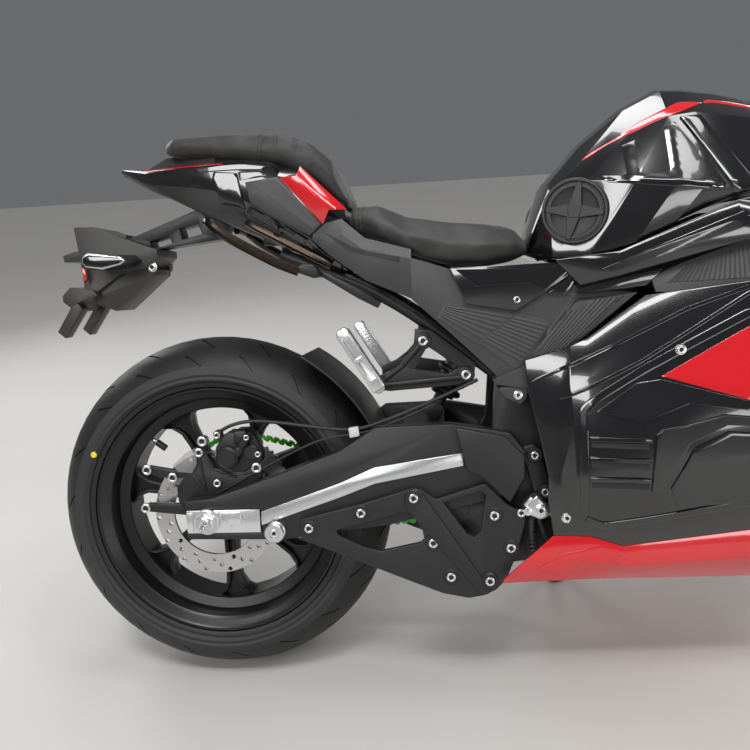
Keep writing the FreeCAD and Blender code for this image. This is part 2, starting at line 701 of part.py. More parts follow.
def tail_side_panels():
    """The matt panels between the tail's gloss strut and the red panels."""
    return pair(skin(TAIL_SIDE_ROWS, SMALL_PANEL))


def tail_red_panels():
    """The red folded panels below the front of the passenger seat."""
    return pair(skin(TAIL_RED_ROWS, SMALL_PANEL))


def side_covers():
    """The matt covers below the seat, one each side; their tails run back to the tail's side panels."""
    outline = [(375, 752), (436, 731), (600, 731), (640, 690), (731, 679), (622, 585), (567, 524), (541, 519),
               (503, 559), (440, 622), (375, 684)]
    cover = plate(outline, COVER_IN, COVER_IN + COVER_THICK)
    tail = loft([[at(x, inside, high), at(x, edge, high), at(x, crest, fold), at(x, foot, low), at(x, inside, low)]
                 for x, edge, high, crest, fold, foot, low, inside in COVER_TAIL])
    # The raised field: its outer face slopes out towards the front
    field = [(556, 580), (636, 668), (728, 679), (616, 588)]
    outer = [at(x, COVER_IN + 18 + FIELD_SLOPE * (x - 556), z) for x, z in field]
    inner = [at(x, COVER_IN + 5, z) for x, z in field]
    raised = loft([inner, outer])
    return pair(union([cover, tail, raised]))


def seat_side_panels():
    """The gloss panels over the covers, below the front of the seat."""
    outline = [(437, 732), (661, 732), (542, 658), (462, 673)]
    start = COVER_IN + COVER_THICK + FIT
    return pair(plate(outline, start, start + SIDE_PANEL_THICK))


def tank_side_panels():
    """The gloss blades below the tank, running forward to the head."""
    rows = [[(604, 154.3, 737), (606, 154.3, 733), (641, 156.3, 694)],
            [(700, 166, 744), (700, 170, 730), (700, 166, 706)],
            [(875, 172, 812), (875, 178, 785), (890, 176, 752)],
            [(1000, 158, 794), (1005, 168, 778), (1010, 170, 760)],
            [(1078, 130, 800), (1084, 144, 788), (1088, 150, 778)]]
    return pair(skin(rows, 6))


# The line where fairing and belly pan meet: x, half width, height
BELLY_LINE = [(590, 170, 290), (612, 172, 291), (630, 176, 291), (648, 178, 291), (697, 180, 275), (900, 176, 298),
              (1010, 168, 302), (1075, 158, 306)]
# Rows from the rear edge forward; each from the top down as (x, half width, height)
FAIRING_ROWS = [
    [(552, 154, 579), (556, 157, 530), (572, 164, 455), (584, 168, 390), (583, 170, 345)],
    [(596, 160, 591), (594, 165, 535), (600, 172, 462), (604, 174, 395), (604, 174, 343)],
    [(622, 166, 600), (618, 184, 540), (622, 194, 468), (624, 196, 398), (624, 192, 341)],
    [(650, 166, 612), (648, 188, 548), (652, 202, 470), (652, 204, 400), (652, 198, 339)],
    [(735, 176, 674), (740, 192, 560), (745, 214, 474), (738, 210, 400), (720, 196, 330)],
    [(900, 184, 690), (900, 200, 600), (880, 218, 500), (880, 214, 420), (890, 198, 350)],
    [(1040, 182, 716), (1030, 200, 620), (1010, 208, 520), (1000, 202, 430), (1000, 188, 360)],
    [(1196, 172, 770), (1170, 186, 680), (1120, 194, 560), (1090, 190, 450), (1080, 176, 370)],
]
# Rows from the rear forward; each from the top down. The panel closes the space between blade and fairing
RIBBED_ROWS = [
    [(750, 153, 702), (752, 157, 692), (754, 164, 678)],
    [(800, 153, 722), (800, 162, 704), (800, 174.2, 676)],
    [(900, 153, 754), (900, 166, 726), (900, 179, 686)],
    [(1000, 148, 768), (1000, 162, 742), (1000, 177.8, 704)],
]
PANEL_THICK = 5.0
NOSE_THICK = 3.0


def side_fairings():
    rows = [row + [edge] for row, edge in zip(FAIRING_ROWS, BELLY_LINE)]
    return pair(skin(rows, PANEL_THICK))


def ribbed_panels():
    return pair(skin(RIBBED_ROWS, PANEL_THICK))


def belly_pan():
    """The red pan: two sides that run back to points, joined by a floor."""
    tip = [(507, 172, 217), (507, 171, 214), (508, 168, 210)]
    low = [(575, 160, 210), (600, 157, 209), (624, 154, 209), (648, 150, 208), (697, 146, 207), (900, 140, 206),
           (1010, 124, 208), (1046, 112, 212)]
    rows = [tip]
    for (x, y, z), bottom in zip(BELLY_LINE, low):
        rows.append([(x, y, z - FIT), (0.5 * (x + bottom[0]), y - 2, 0.5 * (z + bottom[2])), bottom])
    side = skin(rows, PANEL_THICK)
    floor = loft([[at(x, -y, z), at(x, y, z), at(x, y, z + 5), at(x, -y, z + 5)] for x, y, z in low[3:]])
    return union([side, mirrored(side), floor])


# Rows from the cockpit to the tip; each from the bottom up as (x from the front axle, half width, height)
NOSE_ROWS = [
    [(-203, 172, 771), (-185, 184, 800), (-160, 168, 850)],
    [(-70, 142, 716), (-58, 158, 800), (-48, 138, 882)],
    [(50, 96, 735), (65, 108, 810), (70, 92, 890)],
    [(135, 30, 768), (156, 36, 812), (145, 32, 880)],
]


def nose_fairing():
    """One skin from the left side round the tip to the right."""
    left = [[(WHEELBASE + x, y, z) for x, y, z in row] for row in NOSE_ROWS]
    right = [[(x, -y, z) for x, y, z in row] for row in reversed(left)]
    outer = [[at(x, y, z) for x, y, z in row] for row in left + right]
    inner = []
    for row in outer:
        inner.append([at(p.x - NOSE_THICK, p.y - PANEL_THICK * (1 if p.y > 0 else -1), p.z) for p in row])
    faces = strip(outer[0], inner[0]) + strip(outer[-1], inner[-1])
    for layer in (outer, inner):
        for first, second in zip(layer, layer[1:]):
            faces += strip(first, second)
    for end in (0, -1):
        faces += strip([row[end] for row in outer], [row[end] for row in inner])
    return closed(faces)


def headlights():
    rows = [[(WHEELBASE - 48, 156, 812), (WHEELBASE - 44, 152, 840)],
            [(WHEELBASE + 62, 112, 800), (WHEELBASE + 66, 106, 850)],
            [(WHEELBASE + 130, 52, 806), (WHEELBASE + 128, 50, 846)]]
    return pair(skin(rows, 9))


def windscreen():
    # Columns: x from the front axle, half width and height of the edge, then of the fold, then centre height
    table = [(143, 31, 881, 16, 892, 896), (70, 91, 890.5, 52, 950, 968), (-48, 137, 882.5, 82, 1008, 1040),
             (-132, 122, 952, 70, 1076, 1102)]
    sections = []
    for x, edge, low, fold, high, centre in table:
        outer = [(edge, low), (fold, high), (0, centre), (-fold, high), (-edge, low)]
        inner = [(-edge + 4, low), (-fold + 3, high - 4), (0, centre - 4), (fold - 3, high - 4), (edge - 4, low)]
        sections.append([at(WHEELBASE + x, y, z) for y, z in outer + inner])
    return loft(sections)


def nose_stay():
    """The tube that carries the nose, the dash and the mirrors, from the head tube forward."""
    spine = rod(at(WHEELBASE - 272, 0, 775), at(WHEELBASE + 20, 0, 838), 10)
    cross = rod(at(WHEELBASE, -136, 834), at(WHEELBASE, 136, 834), 9)
    post = rod(at(WHEELBASE - 70, 0, 818), at(WHEELBASE - 110, 0, 948), 8)
    head_room = on_fork(Part.makeCylinder(HEAD_RADIUS - RUN, 400, at(0, 0, LOWER_CLAMP - 100)))
    return union([spine, cross, post]).cut(head_room)


def dashboard():
    shape = block((-8, 8), (-74, 74), (0, 84))
    shape.rotate(ORIGIN, AXIS_Y, -24)
    shape.translate(at(WHEELBASE - 106, 0, 932))
    return shape


def mirrors():
    stalk = tube([(4, 118, 868), (-4, 150, 930), (-50, 260, 1056)], 7)
    head = loft([[at(x - 48, 230, 1050 + z) for x, z in ((-14, -18), (14, -10), (10, 22), (-14, 30))],
                 [at(x - 54, 300, 1064 + z) for x, z in ((-16, -28), (18, -16), (12, 30), (-16, 38))],
                 [at(x - 64, 372, 1066 + z) for x, z in ((-10, -16), (8, -8), (6, 16), (-10, 24))]])
    shape = union([stalk, head])
    shape.translate(at(WHEELBASE, 0, 0))
    return pair(shape)


# Tail fittings

def grab_rails():
    outer = tube([(30, 128, 836), (110, 134, 790), (196, 132, 738), (226, 124, 730)], 9)
    root = rod(at(24, 84, 842), at(32, 131, 835), 9)
    end = drum(226, 730, 9, 92, 126)
    return pair(union([outer, root, end]))


def plate_hanger():
    outline = [(-18, 863), (-6, 884), (52, 850), (30, 809), (-111, 795), (-150, 818)]
    slots = [[(-108, 812), (-70, 820), (-66, 806), (-104, 798)], [(-50, 832), (-14, 838), (-8, 820), (-46, 812)]]
    shape = plate(outline, -20, 20)
    for slot in slots:
        shape = shape.cut(plate(slot, -21, 21))
    return shape


def plate_carrier():
    """The faceted housing behind the hanger, the folded plate holder below it and the forked legs."""
    body = [(-236, 842), (-200, 841), (-150, 820), (-100, 800), (-84, 795), (-84, 783), (-109, 761), (-157, 754),
            (-206, 722), (-226, 731), (-228, 770)]
    core = plate(body, -50, 50)
    spine = plate([(-238, 843), (-222, 843), (-150, 826), (-150, 810), (-232, 800)], -26, 26)
    lamp = plate([(-272, 794), (-248, 801), (-224, 801), (-224, 782), (-270, 782)], -30, 30)
    holder = plate([(-264, 709), (-264, 720), (-248, 735), (-206, 728), (-198, 718), (-237, 706), (-242, 690)], -60, 60)
    inside = plate([(-228, 726), (-160, 752), (-118, 764), (-96, 760), (-96, 750), (-144, 712), (-174, 688),
                    (-206, 700)], -40, 40)
    shape = union([core, spine, lamp, holder, inside])
    leg = [(-249, 700), (-280, 655), (-267, 643), (-230, 694), (-236, 704)]
    for side in (-60, 34):
        shape = union([shape, plate(leg, side, side + 26)])
    return shape


def rear_signals():
    """A lamp each side, its long face swept back a little."""
    shape = loft([[at(x, 50 + FIT, z) for x, z in ((-184, 789), (-124, 787), (-112, 776), (-124, 766), (-184, 762))],
                  [at(x, 120, z) for x, z in ((-192, 787), (-128, 785), (-118, 776), (-128, 768), (-192, 764))]])
    return pair(shape)


# Foot controls

def peg_brackets():
    outline = [(376, 634), (402, 632), (476, 572), (470, 536), (440, 536), (330, 530), (300, 534), (300, 552),
               (352, 572), (372, 600)]
    return pair(plate(outline, 96 + FIT, 110).cut(plate([(372, 566), (428, 556), (448, 566), (396, 604)], 95, 111)))


def passenger_pegs():
    peg = block((-11, 11), (118, 140), (-6, 124))
    peg.rotate(ORIGIN, AXIS_Y, -31)
    peg.translate(at(312, 0, 541))
    hinge = drum(312, 541, 9, 110 + FIT, 120)
    return pair(union([peg, hinge]))


def rearsets():
    plate_shape = plate([(560, 440), (584, 446), (604, 360), (600, 322), (562, 322), (560, 372)],
                        PLATE_OUT + FIT, PLATE_OUT + 14)
    rise = block((560, 596), (PLATE_OUT + 10, 140), (330, 366))
    peg = rod(at(572, 136, 346), at(556, 216, 352), 11)
    return pair(union([plate_shape, rise, peg]))


def brake_hose():
    # Heights are above the rear axle
    route = [(40, -100, 146.3), (40, -100, 171), (90, -110, 177), (142, -118, 169), (200, -121, 162),
             (258, -122, 168), (314, -122, 185), (368, -120, 203), (422, -117, 221), (478, -114, 234)]
    return tube([(x, y, z + REAR_RADIUS) for x, y, z in route], 3.0)


# Fork, turned by the steering

def fork_outer():
    return Part.makeCylinder(LEG_RADIUS, LEG_TOP - LEG_BOTTOM, at(FORK_OFFSET, LEG_Y, LEG_BOTTOM))


def fork_inner():
    slider = Part.makeCylinder(SLIDER_RADIUS, LEG_BOTTOM - 20, at(FORK_OFFSET, LEG_Y, 20))
    foot = block((FORK_OFFSET - 22, FORK_OFFSET + 22), (LEG_Y - 24, LEG_Y + 20), (-26, 64))
    hole = Part.makeCylinder(AXLE_RADIUS + FIT, 80, at(FORK_OFFSET, LEG_Y - 40, 0), AXIS_Y)
    return union([slider, foot]).cut(hole)


def clamp_plate(middle, thick):
    low = middle - thick / 2
    outline = [(-26, -52), (14, -LEG_Y - 38), (FORK_OFFSET + 24, -LEG_Y - 38), (FORK_OFFSET + 38, -LEG_Y),
               (FORK_OFFSET + 18, -46), (FORK_OFFSET + 18, 46), (FORK_OFFSET + 38, LEG_Y),
               (FORK_OFFSET + 24, LEG_Y + 38), (14, LEG_Y + 38), (-26, 52)]
    shape = face([at(x, y, low) for x, y in outline]).extrude(at(0, 0, thick))
    for side in (LEG_Y, -LEG_Y):
        shape = shape.cut(Part.makeCylinder(LEG_RADIUS + FIT, thick + 2, at(FORK_OFFSET, side, low - 1)))
    return shape


def lower_clamp():
    """The lower clamp with the hollow stem that turns in the head tube."""
    top = UPPER_CLAMP - CLAMP_THICK / 2 - FIT
    stem = Part.makeCylinder(STEM_RADIUS, top - LOWER_CLAMP, at(0, 0, LOWER_CLAMP))
    shape = union([clamp_plate(LOWER_CLAMP, CLAMP_THICK), stem])
    return shape.cut(Part.makeCylinder(STEM_BORE, STEM_BORE_DEPTH + 20, at(0, 0, LOWER_CLAMP - CLAMP_THICK / 2 - 20)))


def upper_clamp():
    nut = Part.makeCylinder(16, 10, at(0, 0, UPPER_CLAMP + CLAMP_THICK / 2 - 4))
    return union([clamp_plate(UPPER_CLAMP, CLAMP_THICK - 6), nut])


def front_axle():
    reach = LEG_Y + 26
    shape = Part.makeCylinder(AXLE_RADIUS, 2 * reach, at(FORK_OFFSET, -reach, 0), AXIS_Y)
    collars = [Part.makeCylinder(17, LEG_Y - 24 - FIT - FRONT_HUB_HALF - 9, at(FORK_OFFSET, side, 0), AXIS_Y)
               for side in (FRONT_HUB_HALF + 9, -(LEG_Y - 24 - FIT))]
    shape = union([shape] + collars)
    return shape.cut(Part.makeCylinder(AXLE_BORE, 2 * reach + 10, at(FORK_OFFSET, -reach - 5, 0), AXIS_Y))


def front_calipers():
    body = block((FORK_OFFSET - 126, FORK_OFFSET - 44), (50, 88), (56, 150))
    bridge = block((FORK_OFFSET - 60, FORK_OFFSET), (72, 98), (66, 120))
    disc_gap = Part.makeCylinder(FRONT_DISC_RADIUS + RUN, 12, at(FORK_OFFSET, FRONT_DISC_IN - 3.5, 0), AXIS_Y)
    shape = union([body, bridge]).cut(disc_gap)
    leg = Part.makeCylinder(SLIDER_RADIUS + FIT, 300, at(FORK_OFFSET, LEG_Y, -40))
    foot = block((FORK_OFFSET - 22 - FIT, FORK_OFFSET + 60), (LEG_Y - 24 - FIT, 200), (-30, 64 + FIT))
    return pair(shape.cut(leg).cut(foot))


def front_mudguard():
    """The guard over the front tyre, with ears that reach the fork legs."""
    inner = FRONT_RADIUS + 12
    outer = inner + 4
    wide = FRONT_HALF_WIDTH + 14
    arch = Part.makeCylinder(outer, 2 * wide, at(FORK_OFFSET, -wide, 0), AXIS_Y)
    arch = arch.cut(Part.makeCylinder(inner, 2 * wide - 8, at(FORK_OFFSET, -wide + 4, 0), AXIS_Y))
    sides = Part.makeCylinder(inner - 46, 2 * wide + 2, at(FORK_OFFSET, -wide - 1, 0), AXIS_Y)
    arch = arch.cut(sides)
    reach = 2 * outer
    keep = [at(FORK_OFFSET, -wide - 2, 0)] + [at(FORK_OFFSET + reach * cos(radians(a)), -wide - 2,
                                                reach * sin(radians(a))) for a in (22, 60, 100, 138)]
    arch = arch.common(face(keep).extrude(at(0, 2 * wide + 4, 0)))
    along = (FORK_OFFSET - 16, FORK_OFFSET + 16)
    ear = block(along, (wide - 4, LEG_Y - SLIDER_RADIUS + 2), (228, 258))
    web = block(along, (wide - 4, wide), (228, 300))
    shape = union([arch, ear, web, mirrored(ear), mirrored(web)])
    for side in (LEG_Y, -LEG_Y):
        shape = shape.cut(Part.makeCylinder(SLIDER_RADIUS + FIT, 400, at(FORK_OFFSET, side, 0)))
    return shape


def handlebar():
    """The left clip-on: clamp, bar, grip, switch box and lever."""
    height = UPPER_CLAMP + CLAMP_THICK / 2 + 12
    clamp = Part.makeCylinder(LEG_RADIUS + 9, 22, at(FORK_OFFSET, LEG_Y, height - 11))
    inner = at(FORK_OFFSET - 26, LEG_Y + 18, height)
    sweep = at(-0.22, 0.96, -0.14).normalize()
    bar = rod(inner, inner + sweep * 222, 11)
    grip = rod(inner + sweep * 100, inner + sweep * 224, 17)
    weight = rod(inner + sweep * 224, inner + sweep * 240, 15)
    switch = rod(inner + sweep * 58, inner + sweep * 96, 19)
    perch = rod(inner + sweep * 40 + at(4, 0, 0), inner + sweep * 40 + at(44, 6, 0), 8)
    root = inner + sweep * 40 + at(42, 4, 0)
    lever = rod(root, root + at(10, 150, -20), 6)
    shape = union([clamp, bar, grip, weight, switch, perch, lever])
    shape = shape.cut(Part.makeCylinder(LEG_RADIUS + FIT, 60, at(FORK_OFFSET, LEG_Y, height - 30)))
    return shape


# Side stand

def stand_direction():
    pivot = at(*STAND_PIVOT)
    foot = at(STAND_FOOT_X, STAND_FOOT_Y, floor_height(STAND_FOOT_Y) + FOOT_THICK)
    return foot - pivot


def side_stand():
    pivot = at(*STAND_PIVOT)
    way = stand_direction()
    axis = stand_axis()
    leg = rod(pivot + way * 0.17, pivot + way, STAND_RADIUS)
    eye = Part.makeCylinder(17, 12, pivot - axis * 6, axis)
    side = axis.cross(way).normalize() * 12
    reach = side.cross(axis).normalize() * -46
    if reach.dot(way) < 0:
        reach = reach * -1
    start = pivot - axis * 6
    neck = face([start - side, start + side, start + side + reach, start - side + reach]).extrude(axis * 12)
    lean = radians(LEAN)
    normal = at(0, -sin(lean), cos(lean))
    ground = at(STAND_FOOT_X, STAND_FOOT_Y, floor_height(STAND_FOOT_Y))
    foot = Part.makeCylinder(FOOT_RADIUS, FOOT_THICK, ground, normal)
    under = Part.makeCylinder(200, 100, ground - normal * 100, normal)
    shape = union([leg, eye, neck, foot]).cut(under)
    return shape.cut(Part.makeCylinder(6 + FIT, 60, pivot - axis * 30, axis))


def stand_axis():
    """The pivot's axis: the leg swings back and up about it."""
    return at(0, 0.9, 0.436).normalize()


def stand_bracket():
    """The lug below the frame with the pin that the stand swings on."""
    pivot = at(*STAND_PIVOT)
    axis = stand_axis()
    pin = Part.makeCylinder(6, 44, pivot - axis * 22, axis)
    ears = [Part.makeCylinder(17, 7, pivot + axis * 8, axis), Part.makeCylinder(17, 7, pivot - axis * 15, axis)]
    arm = block((578, 614), (PLATE_OUT - 10, 142), (207, 240))
    room = Part.makeCylinder(36, 15, pivot - axis * 7.5, axis)
    return union([arm.cut(room), pin] + ears)


def build_nodes():
    rear_carrier = disc_carrier(REAR_AXLE, REAR_DISC_INNER + 4, -REAR_HUB_RIGHT - CARRIER_THICK, -REAR_HUB_RIGHT, 5)
    front_carrier = disc_carrier(FRONT_AXLE, FRONT_DISC_INNER + 4, FRONT_HUB_HALF, FRONT_DISC_IN, 6)
    nodes = {
        "rear_tyre": tyre(REAR_RADIUS, REAR_CROWN, REAR_HALF_WIDTH, REAR_RIM_HALF, REAR_AXLE),
        "rear_rim": rim(REAR_AXLE, REAR_RIM_HALF, REAR_HUB_RADIUS, REAR_HUB_RIGHT, REAR_HUB_LEFT, 20,
                        [rear_carrier]),
        "rear_disc": brake_disc(REAR_AXLE, REAR_DISC_INNER, REAR_DISC_RADIUS, -REAR_DISC_FACE,
                                -REAR_DISC_FACE + DISC_THICK, 15),
        "rear_sprocket": rear_sprocket(),
        "front_tyre": tyre(FRONT_RADIUS, FRONT_CROWN, FRONT_HALF_WIDTH, FRONT_RIM_HALF, FRONT_AXLE),
        "front_rim": rim(FRONT_AXLE, FRONT_RIM_HALF, FRONT_HUB_RADIUS, FRONT_HUB_HALF, FRONT_HUB_HALF, 16,
                         [front_carrier, mirrored(front_carrier)]),
        "front_discs": pair(brake_disc(FRONT_AXLE, FRONT_DISC_INNER, FRONT_DISC_RADIUS, FRONT_DISC_IN,
                                       FRONT_DISC_IN + DISC_THICK, 20)),
        "fork_outer_tubes": on_fork(pair(fork_outer())),
        "fork_sliders": on_fork(pair(fork_inner())),
        "lower_clamp": on_fork(lower_clamp()),
        "upper_clamp": on_fork(upper_clamp()),
        "front_axle": on_fork(front_axle()),
        "front_calipers": on_fork(front_calipers()),
        "front_mudguard": on_fork(front_mudguard()),
        "handlebars": on_fork(pair(handlebar())),
        "side_stand": side_stand(),
        "frame": frame(),
        "battery_block": battery_block(),
        "motor_housing": motor_housing(),
        "drive_sprocket": drive_sprocket(),
        "chain": chain(),
        "swingarm": swingarm(),
        "axle_blocks": axle_blocks(),
        "rear_axle": rear_axle(),
        "paddock_spools": paddock_spools(),
        "swingarm_strips": swingarm_strips(),
        "swingarm_guards": swingarm_guards(),
        "pivot_covers": pivot_covers(),
        "rear_caliper": rear_caliper(),
        "hugger": hugger(),
        "shock": shock(),
        "subframe": subframe(),
        "tank": tank(),
        "flank_caps": flank_caps(),
        "rider_seat": cushion(RIDER_SEAT),
        "passenger_seat": cushion(PASSENGER_SEAT),
        "tail_shell": tail_shell(),
        "tail_side_panels": tail_side_panels(),
        "tail_red_panels": tail_red_panels(),
        "side_covers": side_covers(),
        "seat_side_panels": seat_side_panels(),
        "tank_side_panels": tank_side_panels(),
        "side_fairings": side_fairings(),
        "ribbed_panels": ribbed_panels(),
        "belly_pan": belly_pan(),
        "nose_fairing": nose_fairing(),
        "headlights": headlights(),
        "windscreen": windscreen(),
        "nose_stay": nose_stay(),
        "dashboard": dashboard(),
        "mirrors": mirrors(),
        "grab_rails": grab_rails(),
        "plate_hanger": plate_hanger(),
        "plate_carrier": plate_carrier(),
        "rear_signals": rear_signals(),
        "peg_brackets": peg_brackets(),
        "passenger_pegs": passenger_pegs(),
        "rearsets": rearsets(),
        "brake_hose": brake_hose(),
    }
    return nodes


# Pieces that are cut to fit round others: node, then what it makes room for
TRIMS = [
    ("subframe", ["frame", "side_covers"]),
    ("tank", ["frame"]),
    ("rider_seat", ["subframe"]),
    ("tail_shell", ["passenger_seat", "rider_seat", "subframe"]),
    ("grab_rails", ["tail_shell"]),
    ("peg_brackets", ["subframe"]),
    ("nose_fairing", ["headlights", "mirrors"]),
    ("nose_stay", ["nose_fairing", "mirrors", "headlights", "dashboard"]),
    ("plate_hanger", ["tail_shell", "plate_carrier"]),
]


def trimmed(nodes):
    for name, others in TRIMS:
        for other in others:
            nodes[name] = nodes[name].cut(nodes[other])
    nodes["frame"] = union([nodes["frame"], nodes.pop("nose_stay")])
    return nodes


def parked(nodes):
    """Leans the bike onto its stand and sets the origin under the middle of its box."""
    placed = {}
    for name, shape in nodes.items():
        shape = shape.copy()
        shape.rotate(ORIGIN, AXIS_X, -LEAN)
        placed[name] = shape
    box = Part.makeCompound(list(placed.values())).optimalBoundingBox(False, False)
    shift = at(-(box.XMin + box.XMax) / 2, -(box.YMin + box.YMax) / 2, -box.ZMin)
    for shape in placed.values():
        shape.translate(shift)
    return placed, shift


def main():
    os.makedirs("parts", exist_ok=True)
    placed, shift = parked(trimmed(build_nodes()))
    for name, shape in placed.items():
        shape.exportStep("parts/" + name + ".step")
    print("nodes", len(placed), "shift", [round(v, 3) for v in shift])


if __name__ == "__main__":
    main()
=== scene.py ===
"""The looks of a parked electric sport bike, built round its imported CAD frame.

Places are in millimetres in the bike's own upright frame: X forward from the rear axle, Y to the left,
Z up from the ground. The parked lean is taken from the frame's joints, and each piece is leaned last.
"""

import json
from math import asin, atan2, cos, hypot, pi, radians, sin

import bmesh
import bpy
from mathutils import Matrix, Vector

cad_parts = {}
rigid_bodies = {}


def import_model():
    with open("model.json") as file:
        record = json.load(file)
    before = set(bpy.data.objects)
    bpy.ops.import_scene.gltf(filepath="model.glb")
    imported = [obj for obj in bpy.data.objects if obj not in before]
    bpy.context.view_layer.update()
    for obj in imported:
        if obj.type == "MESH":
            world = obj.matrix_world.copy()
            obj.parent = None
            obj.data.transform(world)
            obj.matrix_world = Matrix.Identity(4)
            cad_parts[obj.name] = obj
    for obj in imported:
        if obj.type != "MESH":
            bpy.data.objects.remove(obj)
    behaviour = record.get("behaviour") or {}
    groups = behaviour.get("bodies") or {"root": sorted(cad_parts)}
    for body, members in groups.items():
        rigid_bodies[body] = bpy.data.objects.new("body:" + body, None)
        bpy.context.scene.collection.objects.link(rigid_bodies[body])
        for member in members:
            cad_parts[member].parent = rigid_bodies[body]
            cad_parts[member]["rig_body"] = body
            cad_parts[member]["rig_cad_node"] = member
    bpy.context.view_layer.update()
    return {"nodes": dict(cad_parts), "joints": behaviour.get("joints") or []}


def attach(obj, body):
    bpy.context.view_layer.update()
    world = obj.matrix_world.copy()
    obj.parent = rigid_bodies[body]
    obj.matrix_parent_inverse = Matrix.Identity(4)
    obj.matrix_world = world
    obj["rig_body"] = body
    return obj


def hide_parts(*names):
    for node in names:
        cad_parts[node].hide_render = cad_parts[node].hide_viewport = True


bl_info = {
    "name": "Sport bike",
    "version": (1, 0, 0),
    "blender": (4, 5, 0),
    "location": "View3D > Sidebar > Sport bike",
    "description": "Dresses a parked electric sport bike",
    "category": "Object",
}

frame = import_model()
MM = 0.001

JOINTS = {joint["name"]: joint for joint in frame["joints"]}


def axes_at(point, x, y, z):
    matrix = Matrix((x, y, z)).transposed().to_4x4()
    matrix.translation = Vector(point)
    return matrix


ACROSS = Vector(JOINTS["rear_wheel_spin"]["axis"])
AHEAD = Vector((1, 0, 0))
UP = AHEAD.cross(ACROSS)
REAR_HUB = Vector(JOINTS["rear_wheel_spin"]["pos_m"])
FRONT_HUB = Vector(JOINTS["front_wheel_spin"]["pos_m"])
STEER = Vector(JOINTS["steering"]["axis"])
REAR_RADIUS = 315.0
REAR_WHEEL = axes_at(REAR_HUB, AHEAD, ACROSS, UP)
FRONT_WHEEL = axes_at(FRONT_HUB, AHEAD, ACROSS, UP)
BIKE = axes_at(REAR_HUB - UP * REAR_RADIUS * MM, AHEAD, ACROSS, UP)
FORK = axes_at(JOINTS["steering"]["pos_m"], ACROSS.cross(STEER), ACROSS, STEER)


class PaintColours(bpy.types.PropertyGroup):
    red: bpy.props.FloatVectorProperty(
        name="Red", description="Bright red of the tail, stripe and belly pan", subtype="COLOR", size=3,
        default=(0.62, 0.008, 0.014))
    vinyl: bpy.props.FloatVectorProperty(
        name="Seat vinyl", description="Dark grey of the seat covers", subtype="COLOR", size=3,
        default=(0.022, 0.021, 0.020))
    chain: bpy.props.FloatVectorProperty(
        name="Chain", description="Neon green of the drive chain", subtype="COLOR", size=3,
        default=(0.10, 0.72, 0.03))
    bronze: bpy.props.FloatVectorProperty(
        name="Bronze", description="Dark anodised bronze of rails and fork tubes", subtype="COLOR", size=3,
        default=(0.045, 0.032, 0.024))


class BikeSizes(bpy.types.PropertyGroup):
    groove_depth: bpy.props.FloatProperty(
        name="Groove depth", description="Depth of the tyre's slash grooves", unit="LENGTH", default=0.003)
    stitch_length: bpy.props.FloatProperty(
        name="Stitch length", description="Length of a stitch on the seats", unit="LENGTH", default=0.005)


def paints():
    return bpy.context.scene.bike_paints


def sizes():
    return bpy.context.scene.bike_sizes


# Shader expressions

class Wire:
    """A shader socket that can be used in arithmetic."""

    def __init__(self, finish, socket):
        self.finish = finish
        self.socket = socket

    def maths(self, operation, *values):
        return self.finish.node("Math", {"operation": operation}, dict(enumerate(values)))

    def __add__(self, other):
        return self.maths("ADD", self, other)

    def __sub__(self, other):
        return self.maths("SUBTRACT", self, other)

    def __mul__(self, other):
        return self.maths("MULTIPLY", self, other)

    def __truediv__(self, other):
        return self.maths("DIVIDE", self, other)

    def __rsub__(self, other):
        return self.maths("SUBTRACT", other, self)

    __radd__ = __add__
    __rmul__ = __mul__

    def above(self, edge, soft=0.0005):
        """0 below an edge and 1 above it."""
        settings = {"interpolation_type": "SMOOTHSTEP"}
        values = {"Value": self, "From Min": edge - soft, "From Max": edge + soft}
        return self.finish.node("MapRange", settings, values)

    def wave(self, period):
        """A value that swings between 0 and 1 with a period."""
        return self.maths("SINE", self * (2 * pi / period)) * 0.5 + 0.5


